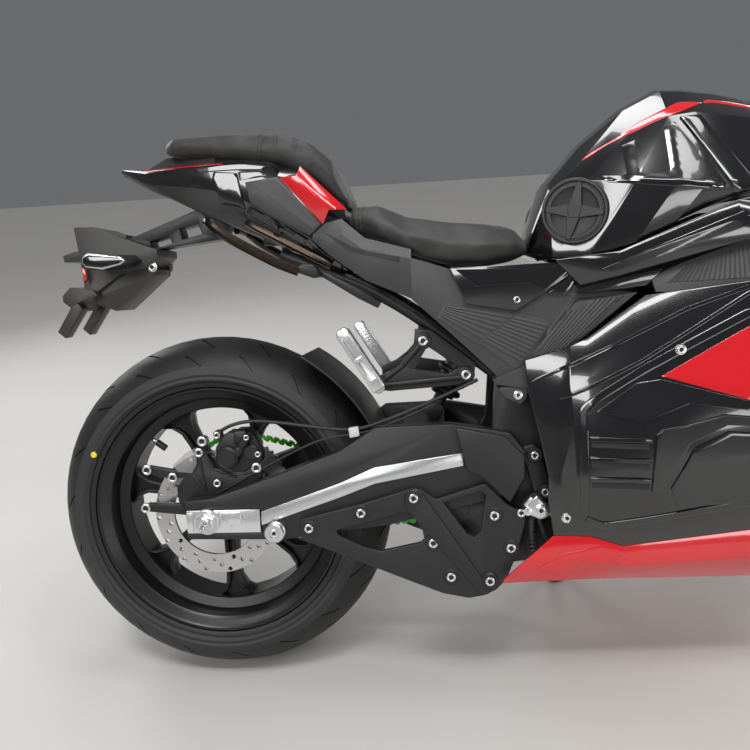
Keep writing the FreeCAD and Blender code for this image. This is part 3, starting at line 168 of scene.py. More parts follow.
class Finish:
    """A material whose nodes are made from expressions on wires."""

    def __init__(self, name, **fixed):
        self.material = bpy.data.materials.new(name)
        self.material.use_nodes = True
        self.nodes = self.material.node_tree.nodes
        self.shader = self.nodes["Principled BSDF"]
        for socket, value in fixed.items():
            if socket == "Base_Color" or socket.endswith("Tint"):
                value = (*value, 1)
            self.shader.inputs[socket.replace("_", " ")].default_value = value

    def node(self, kind, settings, values, out=0):
        made = self.nodes.new("ShaderNode" + kind)
        for key, value in settings.items():
            setattr(made, key, value)
        for key, value in values.items():
            self.feed(made.inputs[key], value)
        return Wire(self, made.outputs[out])

    def feed(self, socket, value):
        if isinstance(value, Wire):
            self.material.node_tree.links.new(value.socket, socket)
        elif isinstance(value, (tuple, list)) and len(value) == 3 and socket.type == "RGBA":
            socket.default_value = (*value, 1)
        else:
            socket.default_value = value

    def place(self, frame_matrix=None):
        """Object coordinates, in the row's frame or in one of the bike's frames."""
        point = self.node("TexCoord", {}, {}, "Object")
        if frame_matrix is None:
            return point
        values = {"Vector": point, "Location": tuple(frame_matrix.translation),
                  "Rotation": tuple(frame_matrix.to_euler())}
        return self.node("Mapping", {"vector_type": "TEXTURE"}, values)

    def parts(self, point):
        return [self.node("SeparateXYZ", {}, {"Vector": point}, axis) for axis in range(3)]

    def noise(self, point, scale, detail=3.0, rough=0.55):
        values = {"Vector": point, "Scale": scale, "Detail": detail, "Roughness": rough}
        return self.node("TexNoise", {}, values, 0)

    def cells(self, point, scale, feature="F1"):
        return self.node("TexVoronoi", {"feature": feature}, {"Vector": point, "Scale": scale}, 0)

    def stretch(self, point, factors):
        return self.node("Mapping", {"vector_type": "POINT"}, {"Vector": point, "Scale": factors})

    def mix(self, share, first, second):
        return self.node("Mix", {"data_type": "RGBA"}, {0: share, 6: first, 7: second}, 2)

    def paint(self, socket, wire):
        self.feed(self.shader.inputs[socket], wire)

    def bump(self, height, strength, distance=0.001):
        values = {"Height": height, "Strength": strength, "Distance": distance}
        self.paint("Normal", self.node("Bump", {}, values))


FINISHES = {}


def finish_named(name):
    """Each finish is made once, by the function and values in its row of the table."""
    if name not in FINISHES:
        make, *values = MAKERS[name]
        FINISHES[name] = make(*values).material
    return FINISHES[name]


def shaded(colour, share):
    return tuple(share * part for part in colour)


def gloss_paint(name, colour):
    f = Finish(name, Metallic=0.0, Coat_Weight=1.0, Coat_Roughness=0.03, Specular_IOR_Level=0.5)
    point = f.place()
    haze = f.noise(point, 14.0)
    f.paint("Base Color", f.mix(haze, shaded(colour, 0.82), colour))
    f.paint("Roughness", haze * 0.08 + 0.12)
    f.bump(f.noise(point, 22.0, 1.0), 0.012)
    return f


def gloss_red():
    return gloss_paint("gloss_red_paint", tuple(paints().red))


def moulded(name, colour, rough, grain=700.0, strength=0.25):
    """Moulded plastic: an even colour with a fine leather-like grain and faint handling marks."""
    f = Finish(name, Metallic=0.0, Specular_IOR_Level=0.45)
    point = f.place()
    marks = f.noise(point, 9.0)
    f.paint("Base Color", f.mix(marks, shaded(colour, 0.78), colour))
    f.paint("Roughness", marks * 0.12 + (rough - 0.06))
    f.bump(f.cells(point, grain) + f.noise(point, grain * 1.7, 2.0) * 0.6, strength, 0.0002)
    return f


def satin_metal(name, colour, rough, strength=0.12):
    """Painted metal: fine orange peel and a worn sheen."""
    f = Finish(name, Metallic=0.25, Specular_IOR_Level=0.5)
    point = f.place()
    wear = f.noise(point, 22.0)
    f.paint("Base Color", f.mix(wear, shaded(colour, 0.75), colour))
    f.paint("Roughness", wear * 0.14 + (rough - 0.07))
    f.bump(f.noise(point, 420.0, 2.0), strength, 0.0003)
    return f


def plain(name, scale, swing, rough, colour, fixed):
    """One colour, with a roughness that varies a little."""
    f = Finish(name, Base_Color=colour, **fixed)
    f.paint("Roughness", f.noise(f.place(), scale) * swing + rough)
    return f


def bronze_metal():
    f = Finish("bronze_anodised", Metallic=0.9)
    point = f.place()
    bronze = tuple(paints().bronze)
    f.paint("Base Color", f.mix(f.noise(point, 30.0), shaded(bronze, 0.7), bronze))
    f.paint("Roughness", f.noise(point, 200.0) * 0.1 + 0.2)
    return f


def machined():
    """Bright machined aluminium, with faint tool lines."""
    f = Finish("machined_aluminium", Metallic=1.0, Base_Color=(0.78, 0.78, 0.79))
    point = f.place(BIKE)
    lines = f.noise(f.stretch(point, (6.0, 60.0, 900.0)), 3.0, 2.0)
    f.paint("Roughness", lines * 0.16 + 0.22)
    f.bump(lines, 0.12, 0.0002)
    return f


def brushed():
    """Aluminium brushed along the swingarm."""
    f = Finish("brushed_aluminium", Metallic=1.0)
    point = f.place(BIKE)
    along = f.node("Mapping", {"vector_type": "POINT"}, {"Vector": point, "Rotation": (0, radians(20), 0)})
    lines = f.noise(f.stretch(along, (12.0, 400.0, 1500.0)), 2.0, 3.0)
    broad = f.noise(f.stretch(along, (3.0, 20.0, 160.0)), 2.0, 2.0)
    f.paint("Base Color", f.mix(broad, (0.55, 0.56, 0.58), (0.82, 0.83, 0.85)))
    f.paint("Roughness", lines * 0.22 + 0.2)
    f.bump(lines, 0.2, 0.0002)
    return f


def disc_steel(name, wheel, strength):
    """Ground steel, with rings round the axle."""
    f = Finish(name, Metallic=1.0)
    x, y, z = f.parts(f.place(wheel))
    radius = x.maths("SQRT", x * x + z * z)
    rings = f.noise(f.node("CombineXYZ", {}, {0: radius * 1500.0}), 1.0, 2.0)
    f.paint("Base Color", f.mix(rings, (0.50, 0.48, 0.47), (0.74, 0.73, 0.72)))
    f.paint("Roughness", rings * 0.15 + 0.24)
    if strength:
        f.bump(rings, strength, 0.0001)
    return f


def chain_green():
    f = Finish("chain_green", Metallic=0.2, Coat_Weight=0.4)
    point = f.place()
    green = tuple(paints().chain)
    f.paint("Base Color", f.mix(f.noise(point, 60.0), shaded(green, 0.6), green))
    f.paint("Roughness", f.noise(point, 300.0) * 0.2 + 0.3)
    return f


def rubber(name, wheel, outer):
    """Rubber with a paler, finely ribbed band between the bead and the shoulder."""
    f = Finish(name, Specular_IOR_Level=0.35)
    point = f.place(wheel)
    x, y, z = f.parts(point)
    radius = x.maths("SQRT", x * x + z * z)
    sidewall = radius.above(0.240) * (1 - radius.above(outer))
    ribs = x.maths("ARCTAN2", x, z).wave(2 * pi / 420)
    dust = f.noise(point, 25.0, 5.0)
    plain = f.mix(dust, (0.010, 0.010, 0.0105), (0.019, 0.0185, 0.018))
    f.paint("Base Color", f.mix(sidewall, plain, (0.030, 0.030, 0.0305)))
    f.paint("Roughness", dust * 0.16 + sidewall * 0.12 + 0.42)
    f.bump(f.noise(point, 1300.0, 2.0) * 0.3 + ribs * sidewall, 0.2, 0.0003)
    return f


def vinyl():
    f = Finish("seat_vinyl", Specular_IOR_Level=0.4, Sheen_Weight=0.15, Sheen_Roughness=0.4)
    point = f.place()
    grain = f.cells(point, 520.0, "DISTANCE_TO_EDGE")
    patches = f.noise(point, 12.0, 4.0)
    colour = tuple(paints().vinyl)
    f.paint("Base Color", f.mix(patches, shaded(colour, 0.7), shaded(colour, 1.15)))
    f.paint("Roughness", patches * 0.14 + 0.46)
    f.bump(grain * 0.9 + f.noise(point, 1600.0, 1.0) * 0.2, 0.35, 0.0004)
    return f


def thread():
    f = Finish("seat_thread", Base_Color=(0.05, 0.048, 0.045), Roughness=0.7)
    f.bump(f.noise(f.place(), 2500.0), 0.3, 0.0002)
    return f


def hose_rubber():
    f = Finish("hose_rubber", Base_Color=(0.010, 0.010, 0.0105))
    point = f.place()
    f.paint("Roughness", f.noise(point, 80.0) * 0.2 + 0.4)
    f.bump(f.noise(point, 1500.0, 1.0), 0.15, 0.0002)
    return f


def clear_lens():
    f = Finish("clear_lens", Base_Color=(0.75, 0.80, 0.85), Metallic=0.3, Coat_Weight=1.0,
               Specular_IOR_Level=0.8)
    x, y, z = f.parts(f.place(BIKE))
    f.bump((x + y).wave(0.006) + z.wave(0.006), 0.35, 0.001)
    f.paint("Roughness", f.noise(f.place(), 60.0) * 0.05 + 0.08)
    return f


def red_lens():
    f = Finish("red_lens", Base_Color=(0.35, 0.008, 0.006), Coat_Weight=1.0)
    point = f.place()
    f.bump(f.cells(point, 420.0), 0.5, 0.001)
    f.paint("Roughness", f.noise(point, 60.0) * 0.05 + 0.12)
    return f


def day_light():
    f = Finish("day_light", Base_Color=(0.9, 0.92, 0.95), Emission_Strength=1.5)
    f.paint("Emission Color", f.mix(f.noise(f.place(), 60.0), (0.75, 0.82, 0.95), (0.9, 0.95, 1.0)))
    return f


# The name that pieces use, then what makes the finish and the values it gets
MAKERS = {
    "gloss_black": (gloss_paint, "gloss_black_paint", (0.006, 0.006, 0.007)),
    "gloss_red": (gloss_red,),
    "matt_grey": (moulded, "matt_grey_plastic", (0.044, 0.043, 0.043), 0.5),
    "matt_black": (moulded, "matt_black_plastic", (0.016, 0.016, 0.0165), 0.46),
    "fine_black": (moulded, "fine_black_plastic", (0.012, 0.012, 0.0125), 0.38, 1200.0, 0.12),
    "brown_grey": (moulded, "brown_grey_plastic", (0.036, 0.034, 0.032), 0.48),
    "black_metal": (satin_metal, "satin_black_metal", (0.018, 0.018, 0.019), 0.42),
    "arm_black": (satin_metal, "swingarm_black", (0.022, 0.022, 0.0225), 0.46, 0.2),
    "rim_black": (satin_metal, "rim_black", (0.012, 0.012, 0.013), 0.33, 0.08),
    "dark_cast": (satin_metal, "cast_case", (0.10, 0.10, 0.105), 0.5, 0.35),
    "bronze_metal": (bronze_metal,),
    "machined": (machined,),
    "brushed": (brushed,),
    "disc_steel": (disc_steel, "ground_steel", REAR_WHEEL, 0.15),
    "front_disc_steel": (disc_steel, "front_ground_steel", FRONT_WHEEL, 0),
    "chain_green": (chain_green,),
    "rear_rubber": (rubber, "rear_rubber", REAR_WHEEL, 0.268),
    "front_rubber": (rubber, "front_rubber", FRONT_WHEEL, 0.256),
    "vinyl": (vinyl,),
    "thread": (thread,),
    "hose_rubber": (hose_rubber,),
    "clear_lens": (clear_lens,),
    "red_lens": (red_lens,),
    "day_light": (day_light,),
}
# Finishes of one colour: name of the material, noise scale, swing and base of the roughness, colour, fixed values
PLAIN = {
    "bright_bolt": ("bright_bolt", 300.0, 0.2, 0.18, (0.80, 0.79, 0.77), {"Metallic": 1.0}),
    "smoked": ("smoked_screen", 20.0, 0.04, 0.05, (0.03, 0.032, 0.035),
               {"Alpha": 0.72, "Coat_Weight": 1.0, "Coat_Roughness": 0.02, "Specular_IOR_Level": 0.6}),
    "mirror_glass": ("mirror_glass", 10.0, 0.02, 0.01, (0.85, 0.87, 0.9), {"Metallic": 1.0}),
    "pale_plastic": ("pale_plastic", 90.0, 0.15, 0.35, (0.55, 0.53, 0.48), {"Specular_IOR_Level": 0.5}),
    "clear_film": ("clear_film", 90.0, 0.15, 0.2, (0.30, 0.29, 0.285), {"Alpha": 0.35, "Specular_IOR_Level": 0.6}),
    "screen_glass": ("screen_glass", 40.0, 0.05, 0.06, (0.01, 0.012, 0.015), {"Coat_Weight": 1.0}),
    "yellow_dot": ("yellow_dot", 90.0, 0.15, 0.5, (0.75, 0.58, 0.02), {}),
}
for label, row in PLAIN.items():
    MAKERS[label] = (plain, *row)


# Modelling helpers

def linked(obj):
    bpy.context.scene.collection.objects.link(obj)
    return obj


def choose(obj):
    """Selects one object alone and makes it active."""
    if bpy.context.object and bpy.context.object.mode != "OBJECT":
        bpy.ops.object.mode_set(mode="OBJECT")
    bpy.ops.object.select_all(action="DESELECT")
    obj.select_set(True)
    bpy.context.view_layer.objects.active = obj
    return obj


def editing(obj, select="SELECT"):
    choose(obj)
    bpy.ops.object.mode_set(mode="EDIT")
    bpy.ops.mesh.select_all(action=select)


def done():
    bpy.ops.object.mode_set(mode="OBJECT")


def primitive(name):
    """Names the primitive just added and puts its place into its mesh."""
    obj = bpy.context.object
    obj.name = name
    bpy.ops.object.transform_apply(location=True, rotation=True, scale=True)
    return obj


def modified(obj, kind, **settings):
    choose(obj)
    modifier = obj.modifiers.new(kind, kind)
    for key, value in settings.items():
        setattr(modifier, key, value)
    bpy.ops.object.modifier_apply(modifier=modifier.name)
    return obj


def extent(obj, axis):
    along = [vertex.co[axis] for vertex in obj.data.vertices]
    return min(along), max(along)


def picked(obj, test):
    """Edits a piece with only those faces selected that pass a test."""
    editing(obj, "DESELECT")
    shape = bmesh.from_edit_mesh(obj.data)
    for face in shape.faces:
        face.select = test(face)
    bmesh.update_edit_mesh(obj.data)


def cad_copy(node, name):
    """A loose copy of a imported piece."""
    source = frame["nodes"][node]
    obj = source.copy()
    obj.data = source.data.copy()
    obj.parent = None
    obj.name = name
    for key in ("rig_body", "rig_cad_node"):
        if key in obj:
            del obj[key]
    linked(obj)
    return obj


def facing_left(obj):
    """Turns an open sheet so that it looks to the left."""
    if sum(face.normal.y * face.area for face in obj.data.polygons) < 0:
        obj.data.flip_normals()


def outward(obj, merge=0.00001):
    editing(obj)
    bpy.ops.mesh.remove_doubles(threshold=merge)
    bpy.ops.mesh.normals_make_consistent(inside=False)
    done()
    return obj


def rounded(obj, width, segments=2, angle=30.0):
    return modified(obj, "BEVEL", width=width, segments=segments, limit_method="ANGLE",
                    angle_limit=radians(angle), use_clamp_overlap=True, miter_outer="MITER_ARC")


def smoothed(obj, angle=32.0):
    choose(obj)
    bpy.ops.object.shade_smooth_by_angle(angle=radians(angle))
    return obj


def joined(name, pieces):
    choose(pieces[0])
    for piece in pieces[1:]:
        piece.select_set(True)
    if len(pieces) > 1:
        bpy.ops.object.join()
    pieces[0].name = name
    return pieces[0]


def moved(obj, place, turn):
    """Turns a piece's mesh about the origin and moves it to a place in mm."""
    obj.data.transform(Matrix.Translation(Vector(place) * MM) @ turn)
    return obj


def copied(obj, matrix):
    twin = obj.copy()
    twin.data = obj.data.copy()
    linked(twin)
    twin.data.transform(matrix)
    if matrix.determinant() < 0:
        twin.data.flip_normals()
    return twin


def built(name, rows):
    """Joins pieces given by rows: the function that makes each, and its values."""
    return joined(name, [make("part", *values) for make, *values in rows])


MIRROR = Matrix.Scale(-1, 4, (0, 1, 0))


def both_sides(obj):
    """Joins a left piece with its mirror image."""
    return joined(obj.name, [obj, copied(obj, MIRROR)])


def coated(obj, finish):
    """Gives a piece its finish; the recesses of bolts get a near-black finish, as painted shade."""
    obj.data.materials.clear()
    obj.data.materials.append(finish_named(finish))
    # Faces marked as recess take a near-black finish: painted shade in the bolt sockets.
    recess = obj.data.attributes.get("recess")
    if recess:
        obj.data.materials.append(finish_named("hose_rubber"))
        for face, mark in zip(obj.data.polygons, recess.data):
            face.material_index = 1 if mark.value else 0
    return obj


def recoated(obj, finish, chosen, space=None):
    """Gives some faces another finish; the test gets each face's middle, in mm, and its normal."""
    obj.data.materials.append(finish_named(finish))
    back = (space or Matrix()).inverted()
    turn = back.to_3x3()
    number = len(obj.data.materials) - 1
    for face in obj.data.polygons:
        if chosen((back @ face.center) / MM, turn @ face.normal):
            face.material_index = number
    return obj


# Looks from the side start this far out from the bike's middle, in mm
RAY_START = 320


def met(base, x, z):
    """The place on a piece's left face seen from the side, in mm, and the way the face looks."""
    start = BIKE @ (Vector((x, RAY_START, z)) * MM)
    hit, place, normal, index = base.ray_cast(start, -ACROSS, distance=RAY_START * MM)
    if not hit:
        return None
    return (BIKE.inverted() @ place) / MM, BIKE.to_3x3().inverted() @ normal


def pressed(base, x, z):
    """How far out a piece's left face is at a place seen from the side, in mm."""
    found = met(base, x, z)
    return found[0].y if found else None


def settled(obj, base, spots, out, sink, edge, segments):
    """Lifts each vertex off the piece below it and gives the panel its thickness."""
    last = None
    for vertex, (x, z) in zip(obj.data.vertices, spots):
        found = met(base, x, z)
        if found:
            last = found
            vertex.co = (found[0] + out * found[1]) * MM
        elif last:
            vertex.co = Vector((x, last[0].y + out * last[1].y, z)) * MM
    facing_left(obj)
    modified(obj, "SOLIDIFY", thickness=(out + sink) * MM, offset=-1)
    if edge:
        rounded(obj, edge * MM, segments, 50)
    return smoothed(obj, 25)


def draped(name, outline, base, out=0.8, sink=1.0, step=16.0, edge=0.3, segments=1):
    """A thin panel whose outline of (x, z) places is pressed onto the left face of a piece."""
    obj = sheet_of(name, outline, 0)
    longest = max(hypot(x - u, z - w) for x, z in outline for u, w in outline)
    cuts = min(12, int(longest / step))
    editing(obj)
    bpy.ops.mesh.quads_convert_to_tris()
    if cuts:
        bpy.ops.mesh.subdivide(number_cuts=cuts)
    done()
    return settled(obj, base, [(v.co.x / MM, v.co.z / MM) for v in obj.data.vertices], out, sink, edge, segments)


def spread(line, count):
    """Evenly spaced places along a line of (x, z) places."""
    lengths = [0.0]
    for (x0, z0), (x1, z1) in zip(line, line[1:]):
        lengths.append(lengths[-1] + hypot(x1 - x0, z1 - z0))
    places = []
    for number in range(count + 1):
        travel = lengths[-1] * number / count
        part = max(1, next((k for k, length in enumerate(lengths) if length >= travel - 1e-6), len(lengths) - 1))
        share = (travel - lengths[part - 1]) / max(lengths[part] - lengths[part - 1], 1e-6)
        places.append(Vector(line[part - 1]).lerp(Vector(line[part]), share))
    return places


def band(name, upper, lower, base, out=0.8, sink=1.0, across=3, step=9.0, edge=0.3, segments=1):
    """A strip between two lines of (x, z) places, pressed onto the left face of a piece."""
    ends = Vector(upper[0]) - Vector(upper[-1])
    count = max(6, int(ends.length / step))
    top, low = spread(upper, count), spread(lower, count)
    bpy.ops.mesh.primitive_grid_add(x_subdivisions=count, y_subdivisions=across, size=2)
    obj = primitive(name)
    spots = []
    for row in range(across + 1):
        spots += [tuple(a.lerp(b, row / across)) for a, b in zip(top, low)]
    return settled(obj, base, spots, out, sink, edge, segments)


def bands(base, table):
    """Strips on both sides of a piece: rows of name, finish, standing out, edge, upper line and lower line."""
    for name, finish, out, edge, upper, lower in table:
        paired(band(name, upper, lower, base, out, 1.5, 3, 9.0, edge, 2), finish)


def lowered(line, drop):
    return [(x, z - drop) for x, z in line]


def ribbed(name, corners, base, pitch=3.6, height=0.9, out=0.6, spans=6):
    """Fine parallel ribs over a four-sided field: they run from its first edge's start to its end."""
    a, b, c, d = (Vector(corner) for corner in corners)
    count = int(0.5 * ((d - a).length + (c - b).length) / pitch)
    bpy.ops.mesh.primitive_grid_add(x_subdivisions=spans, y_subdivisions=2 * count, size=2)
    obj = primitive(name)
    last = None
    for index, vertex in enumerate(obj.data.vertices):
        step, along = divmod(index, spans + 1)
        start = a.lerp(d, step / (2 * count))
        end = b.lerp(c, step / (2 * count))
        x, z = start.lerp(end, along / spans)
        y = pressed(base, x, z)
        last = y if y is not None else last
        vertex.co = Vector((x, (last or 0) + out + height * (step % 2), z)) * MM
    facing_left(obj)
    modified(obj, "SOLIDIFY", thickness=(out + 1.0) * MM, offset=-1)
    return smoothed(obj, 20)


def framed(name, outline, inner, outer, rim=2.0, depth=1.5, edge=0.6):
    """A plate whose outer face is let in by a depth, inside a rim."""
    obj = extruded(name, outline, inner, outer, 0)
    top = extent(obj, 1)[1]
    picked(obj, lambda face: all(abs(vertex.co.y - top) < 1e-6 for vertex in face.verts))
    bpy.ops.mesh.inset(thickness=rim * MM)
    bpy.ops.mesh.extrude_region_move(TRANSFORM_OT_translate={"value": (0, -depth * MM, 0)})
    done()
    rounded(obj, edge * MM, 2)
    return smoothed(obj)


def panels(base, table):
    """Thin panels pressed on both sides of a piece: rows of name, finish, standing out, edge and outline."""
    for name, finish, out, edge, outline in table:
        panel = draped(name, outline, base, out, 1.5, 16.0, edge, 2)
        paired(panel, finish)


def oval(centre, wide, high, points=24):
    return [(centre[0] + wide * cos(2 * pi * n / points), centre[1] + high * sin(2 * pi * n / points))
            for n in range(points)]


def fitted(obj, space, finish, body, replaces=()):
    """Leans a finished piece into its place and ties it to the frame."""
    if space is not None:
        choose(obj)
        bpy.ops.object.transform_apply(location=True, rotation=True, scale=True)
        obj.data.transform(space)
    if finish:
        coated(obj, finish)
    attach(obj, body)
    if replaces:
        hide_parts(*replaces)
    return obj


def paired(obj, finish, replaces=()):
    """Fits a left piece and its mirror image to the bike."""
    return fitted(both_sides(obj), BIKE, finish, "chassis", replaces)


def on_fork(obj, finish):
    """Fits a left piece and its mirror image to the fork."""
    return fitted(both_sides(obj), FORK, finish, "fork")


def bolted(name, places, radius=7.5, height=4.0, washer=0.0):
    """Button-head bolts on the left at (x, y, z) places, and their mirror images."""
    return paired(joined(name, [bolt(name, place, radius, height, washer, (0, 1, 0)) for place in places]),
                  "bright_bolt")


def sheet_of(name, outline, across):
    """A flat face whose corners are (x, z) places, at a width across the bike."""
    bpy.ops.mesh.primitive_circle_add(vertices=len(outline), fill_type="NGON")
    obj = primitive(name)
    for vertex, (x, z) in zip(obj.data.vertices, outline):
        vertex.co = (x * MM, across * MM, z * MM)
    return obj


def extruded(name, outline, inner, outer, edge=1.2, segments=2):
    """A plate from an outline of (x, z) places, between two widths, with rounded edges."""
    obj = sheet_of(name, outline, inner)
    editing(obj)
    bpy.ops.mesh.extrude_region_move(TRANSFORM_OT_translate={"value": (0, (outer - inner) * MM, 0)})
    bpy.ops.mesh.select_all(action="SELECT")
    bpy.ops.mesh.normals_make_consistent(inside=False)
    done()
    if edge:
        rounded(obj, edge * MM, segments)
    return smoothed(obj)


def turned(name, profile, steps=64, centre=(0, 0)):
    """A ring spun about the Y axis from a closed or open profile of (width, radius) places."""
    bpy.ops.mesh.primitive_circle_add(vertices=len(profile), fill_type="NOTHING")
    obj = primitive(name)
    for vertex, (y, r) in zip(obj.data.vertices, profile):
        vertex.co = (centre[0] * MM, y * MM, (centre[1] + r) * MM)
    editing(obj)
    bpy.ops.mesh.spin(steps=steps, angle=2 * pi, center=(centre[0] * MM, 0, centre[1] * MM), axis=(0, 1, 0))
    done()
    return smoothed(outward(obj))


def rod_between(name, start, end, radius, steps=16):
    start = Vector(start) * MM
    end = Vector(end) * MM
    way = end - start
    turn = way.to_track_quat("Z", "Y").to_euler()
    bpy.ops.mesh.primitive_cylinder_add(vertices=steps, radius=radius * MM, depth=way.length,
        location=(start + end) / 2, rotation=turn)
    return smoothed(rounded(primitive(name), min(0.0008, 0.2 * radius * MM)))


def pipe(name, points, radius, steps=6):
    """A round tube along a smooth line through the points."""
    curve = bpy.data.curves.new(name, "CURVE")
    curve.dimensions = "3D"
    spline = curve.splines.new("NURBS")
    spline.points.add(len(points) - 1)
    for spot, point in zip(spline.points, points):
        spot.co = (*(Vector(point) * MM), 1)
    spline.order_u = 3
    spline.use_endpoint_u = True
    curve.bevel_depth = radius * MM
    curve.bevel_resolution = 3
    curve.resolution_u = steps
    curve.use_fill_caps = True
    obj = bpy.data.objects.new(name, curve)
    linked(obj)
    choose(obj)
    bpy.ops.object.convert(target="MESH")
    return smoothed(outward(bpy.context.object))


def dressed(node, finish, edge=1.2, segments=2, angle=30.0):
    """A copy of a CAD piece with whole faces and rounded edges, in the CAD piece's place."""
    obj = cad_copy(node, node + "_skin")
    editing(obj)
    bpy.ops.mesh.remove_doubles(threshold=0.00002)
    bpy.ops.mesh.dissolve_limited(angle_limit=radians(1.0))
    done()
    if edge:
        rounded(obj, edge * MM, segments, angle)
    smoothed(obj)
    return fitted(obj, None, finish, frame["nodes"][node]["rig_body"], [node])


def bolt(name, place, radius=7.5, height=4.0, washer=0.0, way=(0, -1, 0)):
    """A button-head bolt with a hexagonal recess, its head pointing along a way."""
    bpy.ops.mesh.primitive_cylinder_add(vertices=20, radius=radius * MM, depth=height * MM,
        location=(0, 0, 0.5 * height * MM))
    obj = primitive(name)
    picked(obj, lambda face: face.normal.z > 0.9)
    bpy.ops.mesh.inset(thickness=0.5 * radius * MM)
    bpy.ops.mesh.extrude_region_move(TRANSFORM_OT_translate={"value": (0, 0, -0.6 * height * MM)})
    done()
    rounded(obj, 0.16 * radius * MM, 2)
    # The faces deep in the hex socket are marked to take a near-black finish: painted shade.
    recess = obj.data.attributes.new("recess", "INT", "FACE")
    for face, mark in zip(obj.data.polygons, recess.data):
        flat = hypot(face.center.x, face.center.y) < 0.52 * radius * MM
        mark.value = 1 if flat and face.center.z > 0.1 * height * MM else 0
    if washer:
        bpy.ops.mesh.primitive_cylinder_add(vertices=20, radius=washer * MM, depth=1.2 * MM,
            location=(0, 0, 0.2 * MM))
        obj = joined(name, [obj, rounded(primitive("washer"), 0.3 * MM)])
    turn = Vector(way).to_track_quat("Z", "Y").to_matrix().to_4x4()
    return smoothed(moved(obj, place, turn))


# Wheels

BEAD_RADIUS = 214.0
RIM_RADIUS = 228.0


def tyre_profile(radius, crown, half_width, rim_half):
    """Places (width, radius) from the crown to the bead, with a stepped sidewall."""
    edge = asin(half_width / crown)
    places = []
    for step in range(15):
        angle = edge * step / 14.0
        places.append((crown * sin(angle), radius - crown + crown * cos(angle)))
    y, r = places[-1]
    foot = RIM_RADIUS + 1
    places += [(y - 1.2, r - 3), (y - 2.0, r - 4.5), (y - 1.0, r - 6)]
    span = r - 6 - (foot + 9)
    bulge = [(0.12, 0.2), (0.3, 0.0), (0.32, 1.4), (0.55, 2.6), (0.8, 5.5), (0.82, 4.2), (0.93, 5.2), (0.95, 7.0)]
    for share, inset in bulge:
        places.append((y - inset, r - 6 - span * share))
    places += [(rim_half + 3.0, foot + 6), (rim_half + 0.8, foot + 1.8), (rim_half - 10.6, foot + 1.0),
               (rim_half - 10.6, BEAD_RADIUS)]
    return places


# Slash grooves by their column in the pitch: first row and row after the last, counted from the crown
GROOVES = {0: (9, 12), 4: (3, 7)}
NO_GROOVE = (99, 99)
PITCH_COLUMNS = (0.0, 0.05, 0.32, 0.37, 0.66, 0.71)
TREAD_ROWS = 14


def tyre(name, radius, crown, half_width, rim_half, space, body, pitches=18):
    """A tyre made as a flat strip whose slash grooves are pushed in, then rolled up."""
    half = tyre_profile(radius, crown, half_width, rim_half)
    rows = [(-y, r) for y, r in reversed(half)] + half[1:]
    middle = len(half) - 1
    count = pitches * len(PITCH_COLUMNS)
    bpy.ops.mesh.primitive_grid_add(x_subdivisions=count, y_subdivisions=len(rows) - 1, size=2)
    obj = primitive(name)
    for index, vertex in enumerate(obj.data.vertices):
        row, number = divmod(index, count + 1)
        turn, column = divmod(number, len(PITCH_COLUMNS))
        y, r = rows[row]
        share = min(abs(row - middle), TREAD_ROWS) / TREAD_ROWS
        lean = 0.85 * share ** 1.6 + 0.25 * share
        shift = 0.5 if row > middle else 0.0
        angle = 2 * pi * (turn + PITCH_COLUMNS[column] + lean + shift * min(share * 6, 1)) / pitches
        vertex.co = (r * sin(angle) * MM, y * MM, r * cos(angle) * MM)

    def grooved(face):
        row, number = divmod(face.index, count)
        from_crown = row - middle if row >= middle else middle - 1 - row
        first, last = GROOVES.get(number % len(PITCH_COLUMNS), NO_GROOVE)
        return first <= from_crown < last

    picked(obj, grooved)
    bpy.ops.mesh.extrude_region_shrink_fatten(
        TRANSFORM_OT_shrink_fatten={"value": -sizes().groove_depth})
    bpy.ops.mesh.select_all(action="SELECT")
    bpy.ops.mesh.remove_doubles(threshold=0.00005)
    bpy.ops.mesh.normals_make_consistent(inside=False)
    done()
    # The inside of the tyre is closed by a wall between the beads
    editing(obj, "DESELECT")
    bpy.ops.mesh.select_mode(type="EDGE")
    bpy.ops.mesh.select_non_manifold()
    bpy.ops.mesh.bridge_edge_loops()
    bpy.ops.mesh.select_mode(type="VERT")
    bpy.ops.mesh.select_all(action="SELECT")
    bpy.ops.mesh.normals_make_consistent(inside=False)
    done()
    smoothed(obj, 38)
    return fitted(obj, space, body.split("_")[0] + "_rubber", body, [name.replace("_rubber", "")])


# One spoke seen from the side: each edge runs from the hub to the rim, and the leading one ends in a hook
SPOKE_TRAILING = [(-13, 0.0), (-11, 0.25), (-10, 0.6), (-12, 0.8), (-19, 0.93), (-30, 1.0)]
SPOKE_LEADING = [(13, 0.0), (11, 0.25), (10, 0.6), (13, 0.78), (24, 0.9), (46, 0.975), (50, 1.0)]
RIB_WIDE = 8.0


def spoke(inner, outer, half):
    """A cast spoke: a thin web between two ribs that part towards the rim."""
    reach = outer - inner
    trailing = [(x, inner + share * reach) for x, share in SPOKE_TRAILING]
    leading = [(x, inner + share * reach) for x, share in SPOKE_LEADING]
    web = extruded("web", trailing + list(reversed(leading)), -0.45 * half, 0.45 * half, 0)
    ribs = []
    for line, wide in ((trailing, RIB_WIDE), (leading, -RIB_WIDE)):
        ribs.append(extruded("rib", line + [(x + wide, z) for x, z in reversed(line)], -half, half, 2.2, 3))
    return joined("spoke", [web] + ribs)


